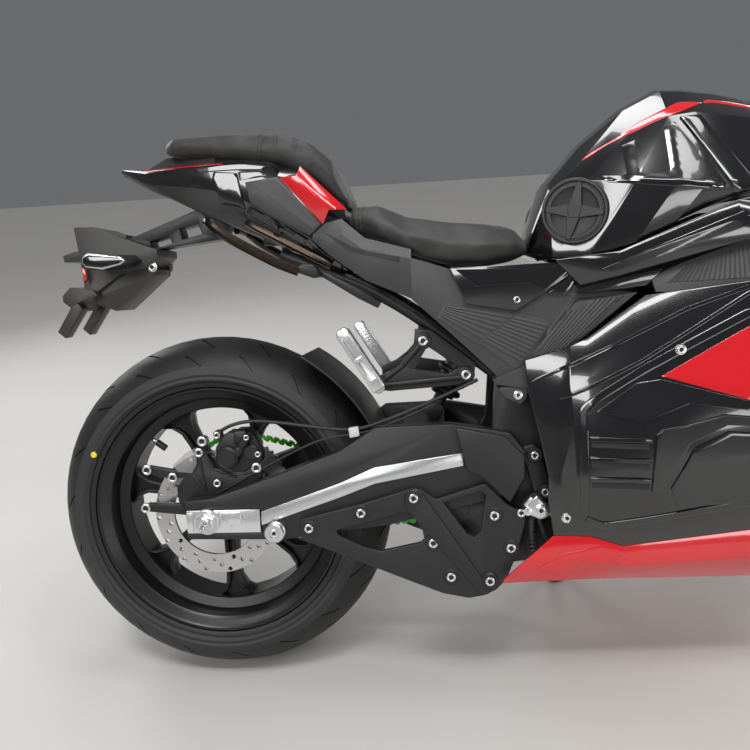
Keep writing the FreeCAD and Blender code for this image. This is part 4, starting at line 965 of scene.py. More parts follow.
def rim(name, node, half, hub_radius, hub_right, hub_left, spoke_half, space, body):
    lip = half - 10
    well = 0.38 * half
    outer = [(half, 228), (half - 2.5, 229.5), (half - 7, 229.5), (lip, 227), (lip, 213.6), (well + 8, 213.6),
             (well, 192.6)]
    inner = [(half, 224), (half - 3, 221), (half - 6, 213), (half - 12, 206), (half - 15, 205.4),
             (well + 12, 204.5), (well + 7, 203), (well + 1, 186), (well - 1, 184.6)]
    profile = outer + [(-y, r) for y, r in reversed(outer)]
    profile += [(-y, r) for y, r in inner] + list(reversed(inner))
    parts = [turned("barrel", profile, 96)]
    hub = [(-hub_right, 13), (-hub_right, hub_radius - 4), (-hub_right + 3, hub_radius),
        (-spoke_half - 14, hub_radius), (-spoke_half, hub_radius + 9), (spoke_half, hub_radius + 9),
        (spoke_half + 14, hub_radius), (hub_left - 3, hub_radius), (hub_left, hub_radius - 4), (hub_left, 13)]
    parts.append(turned("hub", hub, 56))
    arm = spoke(hub_radius - 2, 186.5, spoke_half)
    flipped = Matrix.Scale(-1, 4, (1, 0, 0))
    for number in range(7):
        parts.append(copied(arm, Matrix.Rotation(pi * (2 * number + 1) / 7, 4, "Y") @ flipped))
    bpy.data.objects.remove(arm)
    obj = joined(name, parts)
    return fitted(obj, space, "rim_black", body, [node])


def valve():
    stem = rod_between("valve", (-136, -20, 128), (-124, -20, 119), 3.0)
    cap = rod_between("valve_cap", (-127, -20, 121), (-110, -20, 108), 6.5, 12)
    fitted(stem, REAR_WHEEL, "bright_bolt", "rear_wheel")
    fitted(cap, REAR_WHEEL, "matt_black", "rear_wheel")


def balance_dot():
    """The yellow paint dot on the rear tyre's right side."""
    y = -pressed(bpy.data.objects["rear_tyre_rubber"], -219, 430)
    profile = [(y + 2, 0), (y + 2, 5.5), (y - 0.6, 5.5), (y - 0.8, 4.5), (y - 0.8, 0)]
    dot = turned("balance_dot", profile, 24, (-219, 430))
    fitted(dot, BIKE, "yellow_dot", "rear_wheel")


class BIKE_OT_wheels(bpy.types.Operator):
    """Makes the tyres, the rims with their hooked spokes, and dresses the discs"""
    bl_idname = "bike.wheels"
    bl_label = "Wheels"

    def execute(self, context):
        tyre("rear_tyre_rubber", 315, 97, 90, 79.3, REAR_WHEEL, "rear_wheel")
        tyre("front_tyre_rubber", 300, 62, 60, 48.3, FRONT_WHEEL, "front_wheel")
        rim("rear_rim_cast", "rear_rim", 79.3, 40, 77, 86, 20, REAR_WHEEL, "rear_wheel")
        rim("front_rim_cast", "front_rim", 48.3, 30, 60, 60, 16, FRONT_WHEEL, "front_wheel")
        dressed("rear_disc", "disc_steel", 0.4, 1)
        dressed("front_discs", "front_disc_steel", 0.4, 1)
        dressed("rear_sprocket", "machined", 0.6, 1)
        valve()
        balance_dot()
        return {"FINISHED"}


# Rear brake, on the right of the wheel

CARRIER = [(-24, 436), (-8, 437), (6, 404), (24, 392), (54, 388), (98, 396), (92, 380), (34, 352), (-2, 300),
           (-36, 300), (-60, 344), (-61, 370), (-40, 396), (-24, 419)]
CALIPER_OUTER = [(18, 412), (16, 440), (30, 461), (40, 468), (80, 466), (90, 456), (101, 432), (99, 414), (66, 396),
                 (44, 396)]
CALIPER_INNER = [(26, 442), (36, 466), (80, 464), (92, 440), (86, 410)]
PISTON = [(-100, 0), (-100, 20.5), (-121, 20.5), (-123, 19.8), (-126, 19.8), (-129, 16.5), (-128, 15.5), (-128, 0)]
TABS = ([(-17, 443), (-38, 433), (-64, 411), (-55, 399), (-30, 396), (-20, 412)],
        [(-80, 391), (-92, 369), (-94, 345), (-80, 346), (-60, 359), (-58, 370)])
CARRIER_RIBS = (((-16, 430), (-8, 362)), ((-30, 392), (-6, 358)), ((-6, 432), (10, 402)), ((10, 402), (50, 386)))
# Place, radius and height of each head
BRAKE_BOLTS = (
    ((-112, -107, 404), 9, 6), ((-66, -107, 389), 9, 6), ((-120, -107, 334), 9, 6), ((-7, -107, 453), 9, 6),
    ((89, -112, 404), 9, 6), ((-14, -109, 433), 8, 5), ((15, -109, 377), 7, 5), ((95, -121, 430), 5, 5),
    ((78, -125, 461), 5, 5), ((22, -112, 464), 6, 5))


def rear_brake():
    rows = [
        (extruded, CARRIER, -97, -107, 1.5),
        (extruded, [(-110, 411), (-64, 402), (-38, 398), (-41, 388), (-72, 384), (-110, 396)], -98, -107, 2),
        (extruded, [(-118, 342), (-40, 339), (-40, 317), (-118, 326)], -98, -107, 2),
        (extruded, CALIPER_OUTER, -90, -112, 3.5, 3),
        (extruded, CALIPER_INNER, -64, -90, 3, 2),
        (extruded, [(50, 446), (52, 470), (72, 470), (84, 450)], -70, -114, 2.5),
        (turned, PISTON, 40, (40, 425)),
        (turned, [(-100, 0), (-100, 14), (-119, 14), (-121, 12), (-121, 0)], 32, (82, 432)),
        (rod_between, (60, -118, 436), (80, -118, 464), 7.5),
        (rod_between, (56, -118, 430), (64, -118, 442), 9.5),
        (rod_between, (22, -100, 464), (22, -112, 464), 8)]
    rows += [(rod_between, (a, -107, b), (c, -107, d), 2.6, 8) for (a, b), (c, d) in CARRIER_RIBS]
    rows.append((turned, [(-97, 13), (-97, 30), (-106, 30), (-107, 29), (-107, 13)], 40, (0, 315)))
    fitted(built("rear_brake", rows), BIKE, "black_metal", "chassis", ["rear_caliper"])
    rows = [(bolt, *values) for values in BRAKE_BOLTS] + [(rod_between, (-7, -96, 453), (-7, -108, 453), 9)]
    fitted(built("brake_bolts", rows), BIKE, "bright_bolt", "chassis")
    tabs = [extruded("tab", outline, -110, -111.2, 0.4, 1) for outline in TABS]
    fitted(joined("film_tabs", tabs), BIKE, "clear_film", "chassis")


HOSE_ROUTE = [(22, -106, 466), (32, -107, 474), (60, -109, 484), (92, -111, 487), (140, -114, 482), (200, -118, 473),
              (266, -122, 466), (316, -122, 480), (372, -120, 501), (430, -117, 524), (478, -114, 545)]
WIRE_ROUTE = [(10, -109, 357), (30, -111, 366), (60, -113, 382), (109, -116, 407), (150, -118, 428), (200, -120, 450),
              (240, -121, 458), (266, -122, 459), (320, -121, 471), (400, -118, 505)]


def hoses():
    hose = pipe("rear_brake_hose", HOSE_ROUTE, 3.2)
    fitted(hose, BIKE, "hose_rubber", "chassis", ["brake_hose"])
    fitted(pipe("speed_wire", WIRE_ROUTE, 2.0), BIKE, "hose_rubber", "chassis")
    clip = extruded("hose_clip", [(258, 454), (275, 457), (273, 473), (256, 471)], -116, -127, 1.2)
    fitted(clip, BIKE, "pale_plastic", "chassis")


def axle_fittings():
    """The machined adjuster blocks with their steps, and the hollow axle's nuts."""
    rows = [(extruded, [(-37, 293.5), (94, 293.5), (94, 334.5), (-37, 334.5)], 109, 134.5, 1.0),
            (extruded, [(24, 299), (42, 299), (44, 309), (60, 309), (60, 331), (24, 331)], 134, 137.5, 0.6),
            (extruded, [(-37, 297), (-26, 297), (-26, 331), (-37, 331)], 134, 136.5, 0.6)]
    for number in range(6):
        x = 66 + 4.6 * number
        rows.append((extruded, [(x, 317), (x + 1.4, 317), (x + 1.4, 332), (x, 332)], 134, 135.3, 0))
    rows.append((turned, [(134, 12), (134, 23), (138, 23), (138, 12)], 40, (0, 315)))
    paired(built("adjusters", rows), "machined", ["axle_blocks"])
    ends = built("axle_ends", (
        (turned, [(137, 8), (137, 20), (140, 20), (140, 8)], 36, (0, 315)),
        (turned, [(140, 8), (140, 17.5), (150, 17.5), (151, 16), (151, 8)], 6, (0, 315)),
        (turned, [(130, 7.5), (130, 11.5), (157, 11.5), (158, 10.5), (158, 7.5)], 32, (0, 315))))
    rod = rod_between("axle_rod", (0, -128, 315), (0, 128, 315), 11, 32)
    parts = [ends, copied(ends, MIRROR), rod]
    fitted(joined("axle_and_nuts", parts), BIKE, "machined", "chassis", ["rear_axle"])


def spools():
    centre = (121, 296)
    body = turned("spool", [(134, 0), (134, 17), (138, 17), (139, 15.5), (141, 12), (144, 12), (145, 16), (146, 17),
                            (150, 17), (151.5, 15.5), (151.5, 9), (149, 8), (149, 0)], 44, centre)
    head = bolt("spool_bolt", (121, 148.5, 296), 6.5, 3, 0, (0, 1, 0))
    paired(joined("spools", [body, head]), "machined", ["paddock_spools"])


# Chain: a neon loop of plates, rollers and pins round the two sprockets

DRIVE_AXLE = (455, 275)
PITCH_RADII = (108.0, 33.0)
CHAIN_MIDDLE = 101.0


def chain_path(travel):
    """The place and heading at a distance along the chain, from the top run's rear end."""
    rear = Vector((0, 315))
    drive = Vector(DRIVE_AXLE)
    span = (drive - rear).length
    slope = atan2(drive.y - rear.y, drive.x - rear.x)
    spread = asin((PITCH_RADII[0] - PITCH_RADII[1]) / span)
    run = span * cos(spread)
    turns = (pi + 2 * spread, pi - 2 * spread)
    lengths = (run, turns[1] * PITCH_RADII[1], run, turns[0] * PITCH_RADII[0])
    top = slope + pi / 2 - spread
    low = top - turns[1]
    travel %= sum(lengths)
    for number, length in enumerate(lengths):
        if travel <= length:
            break
        travel -= length
    if number in (0, 2):
        normal = top if number == 0 else low
        centre, radius = (rear, PITCH_RADII[0]) if number == 0 else (drive, PITCH_RADII[1])
        place = centre + radius * Vector((cos(normal), sin(normal)))
        way = Vector((cos(normal - pi / 2), sin(normal - pi / 2)))
        return place + travel * way, sum(lengths)
    centre, radius, normal = (drive, PITCH_RADII[1], top) if number == 1 else (rear, PITCH_RADII[0], low)
    normal -= travel / radius
    return centre + radius * Vector((cos(normal), sin(normal))), sum(lengths)


def link_outline(pitch, radius=6.6, waist=4.2):
    """A link plate seen from the side: two round ends and a narrow waist, its first pin at the origin."""
    end = []
    for step in range(5):
        angle = radians(150 - 60 * step)
        end.append((pitch + radius * sin(angle), radius * cos(angle)))
    middle = 0.5 * pitch
    return [(middle, -waist)] + end + [(middle, waist)] + [(pitch - x, -z) for x, z in end]


def green_chain():
    total = chain_path(0)[1]
    count = 2 * round(total / 15.875 / 2)
    step = total / count
    outline = link_outline(step)
    kinds = []
    for outer in (5.6, 3.9):
        plates = [extruded("plate", outline, side * (outer - 1.5), side * outer, 0.35, 1) for side in (-1, 1)]
        ends = 3.4 if outer < 5 else 6.4
        pins = [rod_between("pin", (x, -ends, 0), (x, ends, 0), 4.8 if outer < 5 else 2.6, 10) for x in (0, step)]
        kinds.append(joined("link", plates + pins))
    parts = []
    for number in range(count):
        start = chain_path(number * step)[0]
        end = chain_path((number + 1) * step)[0]
        way = (end - start).normalized()
        place = Matrix.Translation(Vector((start.x, CHAIN_MIDDLE, start.y)) * MM)
        turn = Matrix.Rotation(-atan2(way.y, way.x), 4, "Y")
        parts.append(copied(kinds[number % 2], place @ turn))
    for kind in kinds:
        bpy.data.objects.remove(kind)
    fitted(joined("green_links", parts), BIKE, "chain_green", "chassis", ["chain"])


# Swingarm guards, seen from the side

GUARD = [(167, 318), (272, 342), (355, 366), (366, 368), (378, 364), (401, 348), (440, 360), (483, 373), (489, 368),
         (519, 336), (545, 322), (548, 312), (546, 300), (532, 250), (514, 206), (496, 188), (474, 178), (449, 174),
         (406, 183), (352, 205), (266, 241), (166, 282)]
WINDOW_REAR = [(228, 297), (270, 308), (345, 328), (358, 327), (368, 320), (386, 296), (384, 285), (372, 273),
               (305, 259), (276, 266), (232, 288)]
WINDOW_FRONT = [(413, 342), (440, 351), (478, 360), (484, 354), (473, 291), (463, 281), (450, 288)]
GUARD_BAND = [(352, 362), (364, 366), (378, 361), (489, 186), (480, 181), (470, 181), (354, 328), (346, 342)]
GUARD_BOLTS = [(181, 302), (272, 327), (363, 352), (393, 272), (421, 212), (486, 205), (497, 318), (523, 261)]


def guards():
    body = extruded("guard_body", GUARD, 134.4, 144, 0)
    for outline in (WINDOW_REAR, WINDOW_FRONT):
        cutter = extruded("cutter", outline, 130, 150, 0)
        modified(body, "BOOLEAN", operation="DIFFERENCE", solver="EXACT", object=cutter)
        bpy.data.objects.remove(cutter)
    rounded(body, 2.4 * MM, 3, 30)
    band = extruded("guard_band", GUARD_BAND, 142, 147.5, 2.2, 3)
    parts = [body, band]
    for x, z in GUARD_BOLTS:
        height = 147.5 if (x, z) in ((363, 352), (486, 205)) else 144
        profile = [(height - 2, 8.5), (height + 1.2, 9.5), (height + 1.2, 12.5), (height - 1.5, 15),
                   (height - 3, 15), (height - 3, 8.5)]
        parts.append(turned("recess", profile, 28, (x, z)))
    paired(joined("guard_skins", parts), "matt_black", ["swingarm_guards"])
    places = [(x, 146 if (x, z) in ((363, 352), (486, 205)) else 142.6, z) for x, z in GUARD_BOLTS]
    bolted("guard_bolts", places, 8, 4)


def motor_details():
    """Cooling fins round a raised ring on the motor's right end cover."""
    rows = [(turned, [(84, 20), (84, 66), (90, 62), (93, 50), (93, 20)], 56, DRIVE_AXLE)]
    for number in range(12):
        way = Vector((cos(2 * pi * number / 12), sin(2 * pi * number / 12)))
        (x0, z0), (x1, z1) = Vector(DRIVE_AXLE) + 30 * way, Vector(DRIVE_AXLE) + 60 * way
        rows.append((rod_between, (x0, 92, z0), (x1, 90, z1), 2.5, 8))
    right = copied(built("motor_end", rows), MIRROR)
    bpy.data.objects.remove(bpy.data.objects["motor_end"])
    fitted(right, BIKE, "dark_cast", "chassis")


class BIKE_OT_running_gear(bpy.types.Operator):
    """Makes the brake, the hoses, the axle fittings, the chain and the guards, and dresses the swingarm"""
    bl_idname = "bike.running_gear"
    bl_label = "Running gear"

    def execute(self, context):
        rear_brake()
        hoses()
        axle_fittings()
        spools()
        green_chain()
        guards()
        motor_details()
        for node, finish, edge in (
                ("swingarm", "arm_black", 5.0), ("swingarm_strips", "brushed", 0.8),
                ("pivot_covers", "matt_black", 3.0), ("hugger", "matt_black", 1.0), ("shock", "black_metal", 1.0),
                ("drive_sprocket", "machined", 0.5), ("motor_housing", "dark_cast", 2.0)):
            dressed(node, finish, edge)
        return {"FINISHED"}


# Foot controls

def folded_pegs():
    """The passenger's folding pegs: a bright bar with a long recess, ribbed on its inner face."""
    bar = extruded("bar", [(-12, -4), (12, -4), (12, 108), (6, 116), (-6, 116), (-12, 108)], 119, 140, 2.5, 3)
    pocket = extruded("pocket", [(-6.5, 14), (6.5, 14), (6.5, 98), (-6.5, 98)], 132, 145, 3, 3)
    modified(bar, "BOOLEAN", operation="DIFFERENCE", solver="EXACT", object=pocket)
    bpy.data.objects.remove(pocket)
    smoothed(bar)
    parts = [bar, extruded("pocket_rib", [(-7, 54), (7, 54), (7, 60), (-7, 60)], 125, 136, 1)]
    for row in range(13):
        for side in (-7, 0, 7):
            z = 14 + 7 * row
            outline = [(side - 2.4, z), (side + 2.4, z), (side + 2.4, z + 4), (side - 2.4, z + 4)]
            parts.append(extruded("stud", outline, 117.6, 120, 0.6, 1))
    peg = joined("folded_pegs", parts)
    moved(peg, (312, 0, 541), Matrix.Rotation(radians(-31), 4, "Y"))
    profile = [(110.5, 0), (110.5, 11), (134, 11), (135, 10), (135, 5), (133, 5), (133, 0)]
    hinge = turned("hinge", profile, 24, (312, 541))
    paired(joined("folded_pegs", [peg, hinge]), "machined", ["passenger_pegs"])


def foot_brackets():
    """Cast brackets of the passenger pegs, with bosses and bolts."""
    dressed("peg_brackets", "black_metal", 3.0, 3)
    boss = [(109, 0), (109, 15), (112.5, 13.5), (113, 12), (113, 0)]
    rows = [(turned, boss, 32, place) for place in ((389, 614), (459, 554))]
    for (x0, z0), (x1, z1) in (((389, 614), (354, 575)), ((354, 575), (312, 545)), ((459, 550), (312, 541))):
        rows.append((rod_between, (x0, 110, z0), (x1, 110, z1), 5, 12))
    paired(built("bracket_bosses", rows), "black_metal")
    bolted("bracket_bolts", [(389, 113, 614), (459, 113, 554)], 8, 4)


def rearset_castings():
    """The rider's foot controls: a linked bracket, a small bright casting and its hoses."""
    bar = [(541, 421), (553, 430), (568, 433), (578, 426), (580, 412), (595, 356), (594, 342), (582, 336), (566, 348),
           (554, 396), (545, 410)]
    links = built("rearset_links", (
        (extruded, bar, 104.4, 122, 3, 3),
        (turned, [(120, 0), (120, 13), (127, 13), (128, 12), (128, 0)], 32, (568, 416)),
        (turned, [(120, 0), (120, 12), (127, 12), (128, 11), (128, 0)], 32, (584, 352))))
    paired(links, "black_metal", ["rearsets"])
    casting = [(545, 338), (557, 346), (567, 353), (580, 340), (592, 326), (588, 317), (572, 310), (556, 318)]
    bright = built("rearset_castings", (
        (extruded, casting, 124, 150, 4, 3),
        (rod_between, (572, 128, 330), (572, 158, 330), 8),
        (rod_between, (586, 130, 322), (596, 152, 318), 6.5),
        (rod_between, (552, 120, 326), (552, 152, 326), 7),
        (rod_between, (548, 146, 336), (560, 150, 350), 5)))
    paired(bright, "machined")
    bolted("rearset_bolts", [(568, 128, 416), (584, 128, 352), (541, 146, 323), (572, 158, 330)], 7, 4)
    routes = ([(560, 138, 316), (557, 138, 296), (558, 138, 276), (566, 136, 254), (582, 130, 236)],
              [(570, 138, 312), (575, 138, 296), (580, 138, 280), (590, 136, 262)])
    tubes = [pipe("foot_hose", route, radius) for route, radius in zip(routes, (5.5, 4.5))]
    for number in range(9):
        z = 312 - 7 * number
        tubes.append(turned("coil", [(-1.2, 5.4), (0, 6.4), (1.2, 5.4)], 12, (0, 0)))
        moved(tubes[-1], (558 + 0.12 * number, 138, z), Matrix.Rotation(pi / 2, 4, "X"))
    fitted(joined("foot_hoses", [copied(joined("tubes", tubes), MIRROR)]), BIKE, "hose_rubber", "chassis")
    bpy.data.objects.remove(bpy.data.objects["tubes"])


class BIKE_OT_frame(bpy.types.Operator):
    """Dresses the frame and the subframe, and makes the foot controls"""
    bl_idname = "bike.frame"
    bl_label = "Frame"

    def execute(self, context):
        for node, finish, edge in (("frame", "black_metal", 2.0), ("subframe", "black_metal", 0.8),
                ("battery_block", "black_metal", 4.0), ("side_stand", "black_metal", 1.5)):
            dressed(node, finish, edge)
        foot_brackets()
        folded_pegs()
        rearset_castings()
        return {"FINISHED"}


# Bodywork: panels are given by their (x, z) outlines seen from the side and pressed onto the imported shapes

# The line along the tail between the gloss upper part and the matt lower part
TAIL_WAIST = [(-160, 942), (-148, 938), (-88, 907), (-52, 901), (0, 893), (43, 884), (100, 862), (143, 836),
              (190, 806), (229, 782), (300, 738)]
TAIL_PANELS = (
    ("tail_strut", "gloss_black", 4.0, 1.6, [(43, 902), (58, 863), (98, 850), (88, 910), (47, 915)]),
    ("tail_rail", "gloss_black", 2.2, 0.9, [(10, 922), (66, 924.5), (93, 924), (140, 917), (133, 912), (88, 915),
        (12, 917)]),
    ("tail_glint", "gloss_black", 1.6, 0.6, [(90, 911), (132, 911), (143, 902), (92, 897)]),
)
TAIL_BANDS = (
    ("tail_edge", "gloss_red", 0.6, 0.2, [(-108, 932), (-60, 932), (60, 931)],
        [(-104, 929.5), (-60, 928.5), (60, 928)]),
)
SIDE_RAIL = [(103, 846), (109, 854), (197, 800), (259, 752), (256, 741), (233, 756), (190, 792)]
# Outlines of the dark sheets laid in the side rail's slots, as painted shade
SIDE_RAIL_SLOTS = ([(124, 840), (134, 836), (186, 802), (180, 800)], [(200, 792), (206, 791), (246, 761), (242, 757)])


def height_on(line, x):
    """The height of a line of (x, z) places at a distance along the bike."""
    for (x0, z0), (x1, z1) in zip(line, line[1:]):
        if x <= x1:
            return z0 + (z1 - z0) * (x - x0) / (x1 - x0)
    return line[-1][1]


def tail():
    shell = dressed("tail_shell", "gloss_black", 2.0)
    recoated(shell, "matt_grey", lambda place, normal: place.z < height_on(TAIL_WAIST, place.x) - 2, BIKE)

    def under_pad(place, normal):
        return place.x > -64 and abs(place.y) < 74 and place.z > height_on(TAIL_WAIST, place.x) + 34

    recoated(shell, "matt_black", under_pad, BIKE)
    matt = dressed("tail_side_panels", "matt_grey", 1.2)
    dressed("tail_red_panels", "gloss_red", 0.9)
    panels(shell, TAIL_PANELS)
    bands(shell, TAIL_BANDS)
    rail = draped("side_rail", SIDE_RAIL, shell, 9.0, 2.0, 16.0, 1.6, 2)
    rail = paired(rail, "gloss_black")
    # Dark sheets over the rail's slots and the gap by the strut are painted shade where the openings are.
    dark = [draped("rail_slot_shade", outline, rail, 0.5, 0.8, 12.0, 0) for outline in SIDE_RAIL_SLOTS]
    dark.append(draped("tail_gap_shade", [(82, 846), (95, 845), (103, 829), (92, 837)], shell, 0.5, 1.0, 12.0, 0))
    paired(joined("tail_shade_sheets", dark), "matt_black")
    seam = draped("panel_fold", [(112, 890), (154, 894), (222, 817), (214, 809)], matt, 0.6, 0.8, 16.0, 0.2)
    paired(seam, "matt_grey")


# Tank, its stripe and its round flank caps

TANK_PANELS = (
    ("tank_facet", "gloss_black", 1.4, 0.7, [(668, 870), (712, 908), (798, 941), (862, 838), (856, 826), (690, 852)]),
)
TANK_BANDS = (
    ("tank_stripe", "gloss_red", 1.0, 0.3, [(658, 895), (676, 909), (750, 949), (812, 977), (846, 976)],
        [(660, 894), (694, 914), (769, 945), (823, 963), (850, 974)]),
    ("tank_stripe_front", "gloss_red", 1.0, 0.3, [(853, 977), (862, 981), (902, 975), (934, 967)],
        [(857, 973), (866, 975), (902, 969), (934, 961)]),
    ("tank_shoulder", "gloss_black", 4.0, 1.8, [(806, 949), (840, 888), (874, 824)],
        [(838, 950), (876, 888), (909, 835)]),
)
CAP_CENTRE = (640, 127, 812)
CAP_YAW = 18.0
CAP_ARMS = (11, 97, 194, 277)


def star_caps():
    """A ring, a dished disc and four let-in wedges about a small hub."""
    ring_part = turned("cap_ring", [(-4, 38), (-4, 52), (4, 52), (5.5, 50.5), (5.5, 47.5), (4, 46), (1.5, 45.5),
                                    (1.5, 43.5), (3.5, 43), (3.5, 38.5), (2.5, 38)], 64)
    disc = turned("cap_disc", [(-4, 0), (-4, 40), (0.5, 40), (1.2, 38), (-0.5, 34), (-0.5, 0)], 64)
    parts = [ring_part, disc]
    for angle in CAP_ARMS:
        arm = framed("arm", [(-10.5, 6), (-3.2, 45.5), (3.2, 45.5), (10.5, 6)], -2, 5.8, 2.2, 2.0, 0.6)
        parts.append(copied(arm, Matrix.Rotation(radians(angle), 4, "Y")))
        bpy.data.objects.remove(arm)
    pentagon = [(12.5 * sin(2 * pi * n / 5), 12.5 * cos(2 * pi * n / 5)) for n in range(5)]
    hub = framed("hub", pentagon, -2, 7, 3, 1.2, 0.8)
    cap = joined("star_caps", parts + [hub])
    moved(cap, CAP_CENTRE, Matrix.Rotation(radians(CAP_YAW), 4, "Z"))
    paired(cap, "matt_black", ["flank_caps"])


def tank():
    skin = dressed("tank", "gloss_black", 2.5, 3, 9)
    panels(skin, TANK_PANELS)
    bands(skin, TANK_BANDS)
    star_caps()
    blade = dressed("tank_side_panels", "gloss_black", 1.5)
    outline = [(672, 718), (700, 728), (884, 795), (884, 770), (690, 712)]
    panels(blade, (("blade_facet", "gloss_black", 1.5, 0.6, outline),))
    facet = extruded("lower_facet", [(632, 683), (645, 691), (770, 715), (742, 688), (695, 685)], 146, 157, 1.5)
    paired(facet, "gloss_black")


# Side covers with their bordered fields of fine ribs

COVER_PANELS = (
    ("rib_border_rear", "matt_grey", 1.4, 0.8, [(428, 676), (548, 654), (600, 639), (553, 572), (538, 563),
        (485, 604), (472, 609), (414, 652)]),
    ("rib_border_front", "matt_grey", 1.4, 0.8, [(629, 674), (706, 676), (617, 585), (551, 573)]),
    # A dark strip laid on the cover is painted shade along a groove
    ("cover_groove_shade", "matt_black", 0.5, 0.2, [(228, 805), (275, 768), (357, 746), (357, 755), (281, 775),
        (262, 787)]),
    ("cover_foot", "matt_grey", 2.4, 1.2, [(501, 548), (550, 567), (606, 577), (576, 558), (559, 530), (507, 539)]),
    ("cover_lug", "matt_grey", 2.0, 1.2, [(507, 537), (558, 528), (554, 514), (545, 505), (519, 518)]),
)
RIB_FIELDS = (
    ((434, 671), (537, 651), (481, 613), (421, 655)),
    ((541, 649), (593, 635), (546, 574), (486, 611)),
    ((636, 670), (562, 580), (613, 590), (699, 672)),
)


def side_covers():
    cover = dressed("side_covers", "matt_grey", 2.0)
    panels(cover, COVER_PANELS)
    ribs = [ribbed("cover_ribs", corners, cover, 6.6, 1.2, 1.6) for corners in RIB_FIELDS]
    paired(joined("cover_ribs", ribs), "matt_grey")
    front = dressed("ribbed_panels", "matt_grey", 1.2)
    ribs = ribbed("front_ribs", ((797, 712), (772, 692), (893, 694), (893, 744)), front, 6.6, 1.3, 0.5)
    paired(ribs, "matt_grey")
    gloss = dressed("seat_side_panels", "gloss_black", 1.6)
    outline = [(446, 729), (560, 725), (640, 729), (588, 687), (566, 701), (479, 700)]
    panels(gloss, (("seat_panel_facet", "gloss_black", 2.0, 0.8, outline),))
    panels(cover, (("cover_triangle", "gloss_black", 5.0, 1.2, [(590, 682), (652, 727), (622, 680)]),))
    bolted("cover_bolts", [(543, 147, 676), (541, 145, 521)], 5.5, 3.5, 7.5)


# Side fairings: a raised spar round a deep field with louvres over painted shadow strips, a bulge and a plain red
# flash

RIDGE_LINE = [(562, 544), (570, 550), (640, 581), (711, 614), (796, 654), (888, 684), (1000, 712)]
SPAR_LINE = [(604, 522), (651, 541), (722, 575), (800, 622), (884, 674), (1010, 700)]
RIM_LINE = [(629, 338), (629, 440), (630, 502), (644, 518), (704, 554), (720, 564), (800, 606), (878, 646),
    (1010, 672)]
RIM_INNER = [(642, 336), (642, 440), (642, 496), (652, 508), (709, 542), (727, 552), (806, 594), (884, 634),
    (1012, 660)]
FAIRING_BANDS = (
    ("fairing_ridge", "gloss_black", 2.2, 0.9, RIDGE_LINE, lowered(RIDGE_LINE, 6)),
    ("fairing_spar", "gloss_black", 3.0, 1.2, SPAR_LINE, lowered(SPAR_LINE, 7)),
    ("fairing_rim", "gloss_black", 3.4, 1.4, RIM_LINE, RIM_INNER),
    ("fairing_sill", "gloss_black", 3.0, 1.2, [(640, 330), (668, 318), (760, 333), (1040, 382)],
     [(636, 318), (668, 306), (760, 322), (1040, 372)]),
)
FAIRING_PANELS = (
    ("fairing_brow", "gloss_black", 4.5, 1.8, [(655, 498), (727, 483), (790, 508), (878, 496), (878, 509), (752, 545),
        (716, 540)]),
    ("fairing_flash", "gloss_red", 1.2, 0.5, [(753, 550), (880, 620), (1010, 648), (1046, 620), (985, 560),
        (920, 522), (877, 511)]),
    ("fairing_bulge", "gloss_black", 7.0, 2.6, [(734, 372), (748, 374), (790, 449), (842, 476), (930, 470),
        (930, 482), (840, 492), (786, 478), (751, 472), (741, 462)]),
    ("fairing_flank", "gloss_black", 3.0, 2.0, [(764, 376), (796, 440), (846, 466), (1010, 452), (1060, 400),
        (930, 352), (776, 344)]),
)
LOUVRE_HEIGHTS = (454, 422, 390)


def fairings():
    skin = dressed("side_fairings", "gloss_black", 1.5)
    panels(skin, FAIRING_PANELS)
    bands(skin, FAIRING_BANDS)
    louvres = []
    shadow_strips = []
    for z in LOUVRE_HEIGHTS:
        blade = [(644, z + 6), (733, z + 3), (735, z - 4), (644, z - 1)]
        louvres.append(draped("louvre", blade, skin, 5.0, 1.5, 16.0, 1.6, 2))
    paired(joined("louvres", louvres), "gloss_black")
    # A dark strip under each louvre is a painted shadow.
    for z in LOUVRE_HEIGHTS:
        shadow_outline = [(646, z - 3), (731, z - 6), (731, z - 15), (646, z - 11)]
        shadow_strips.append(draped("louvre_shadow", shadow_outline, skin, 0.8, 1.0, 12.0, 0))
    paired(joined("louvre_shadows", shadow_strips), "matt_black")
    heads = []
    for x, z, out in ((782, 590, 5), (610, 323, 2), (930, 654, 5)):
        heads.append((x, (pressed(skin, x, z) or 200) + out, z))
    bolted("fairing_bolts", heads, 6, 3.5, 8.5)
    pan = dressed("belly_pan", "gloss_red", 1.5)
    fold = [(560, 232), (610, 262), (664, 276), (700, 262), (660, 240), (600, 226)]
    panels(pan, (("pan_dimple", "gloss_red", 0.8, 0.5, oval((646, 252), 12, 8)),
                 ("pan_fold", "gloss_red", 1.2, 0.8, fold)))


class BIKE_OT_bodywork(bpy.types.Operator):
    """Dresses the painted and moulded panels and presses their folds, ribs and flashes onto them"""
    bl_idname = "bike.bodywork"
    bl_label = "Bodywork"

    def execute(self, context):
        tail()
        tank()
        side_covers()
        fairings()
        return {"FINISHED"}


# Seats: soft pads with sewn seams

# Each side of a pad starts this much inside its packed size, in mm
PAD_SHRINK = 1.5
CLOTH_FRAMES = 20
CLOTH = {"quality": 5, "mass": 0.25, "tension_stiffness": 12, "compression_stiffness": 12, "bending_stiffness": 12,
         "use_pressure": True, "uniform_pressure_force": 4.0}


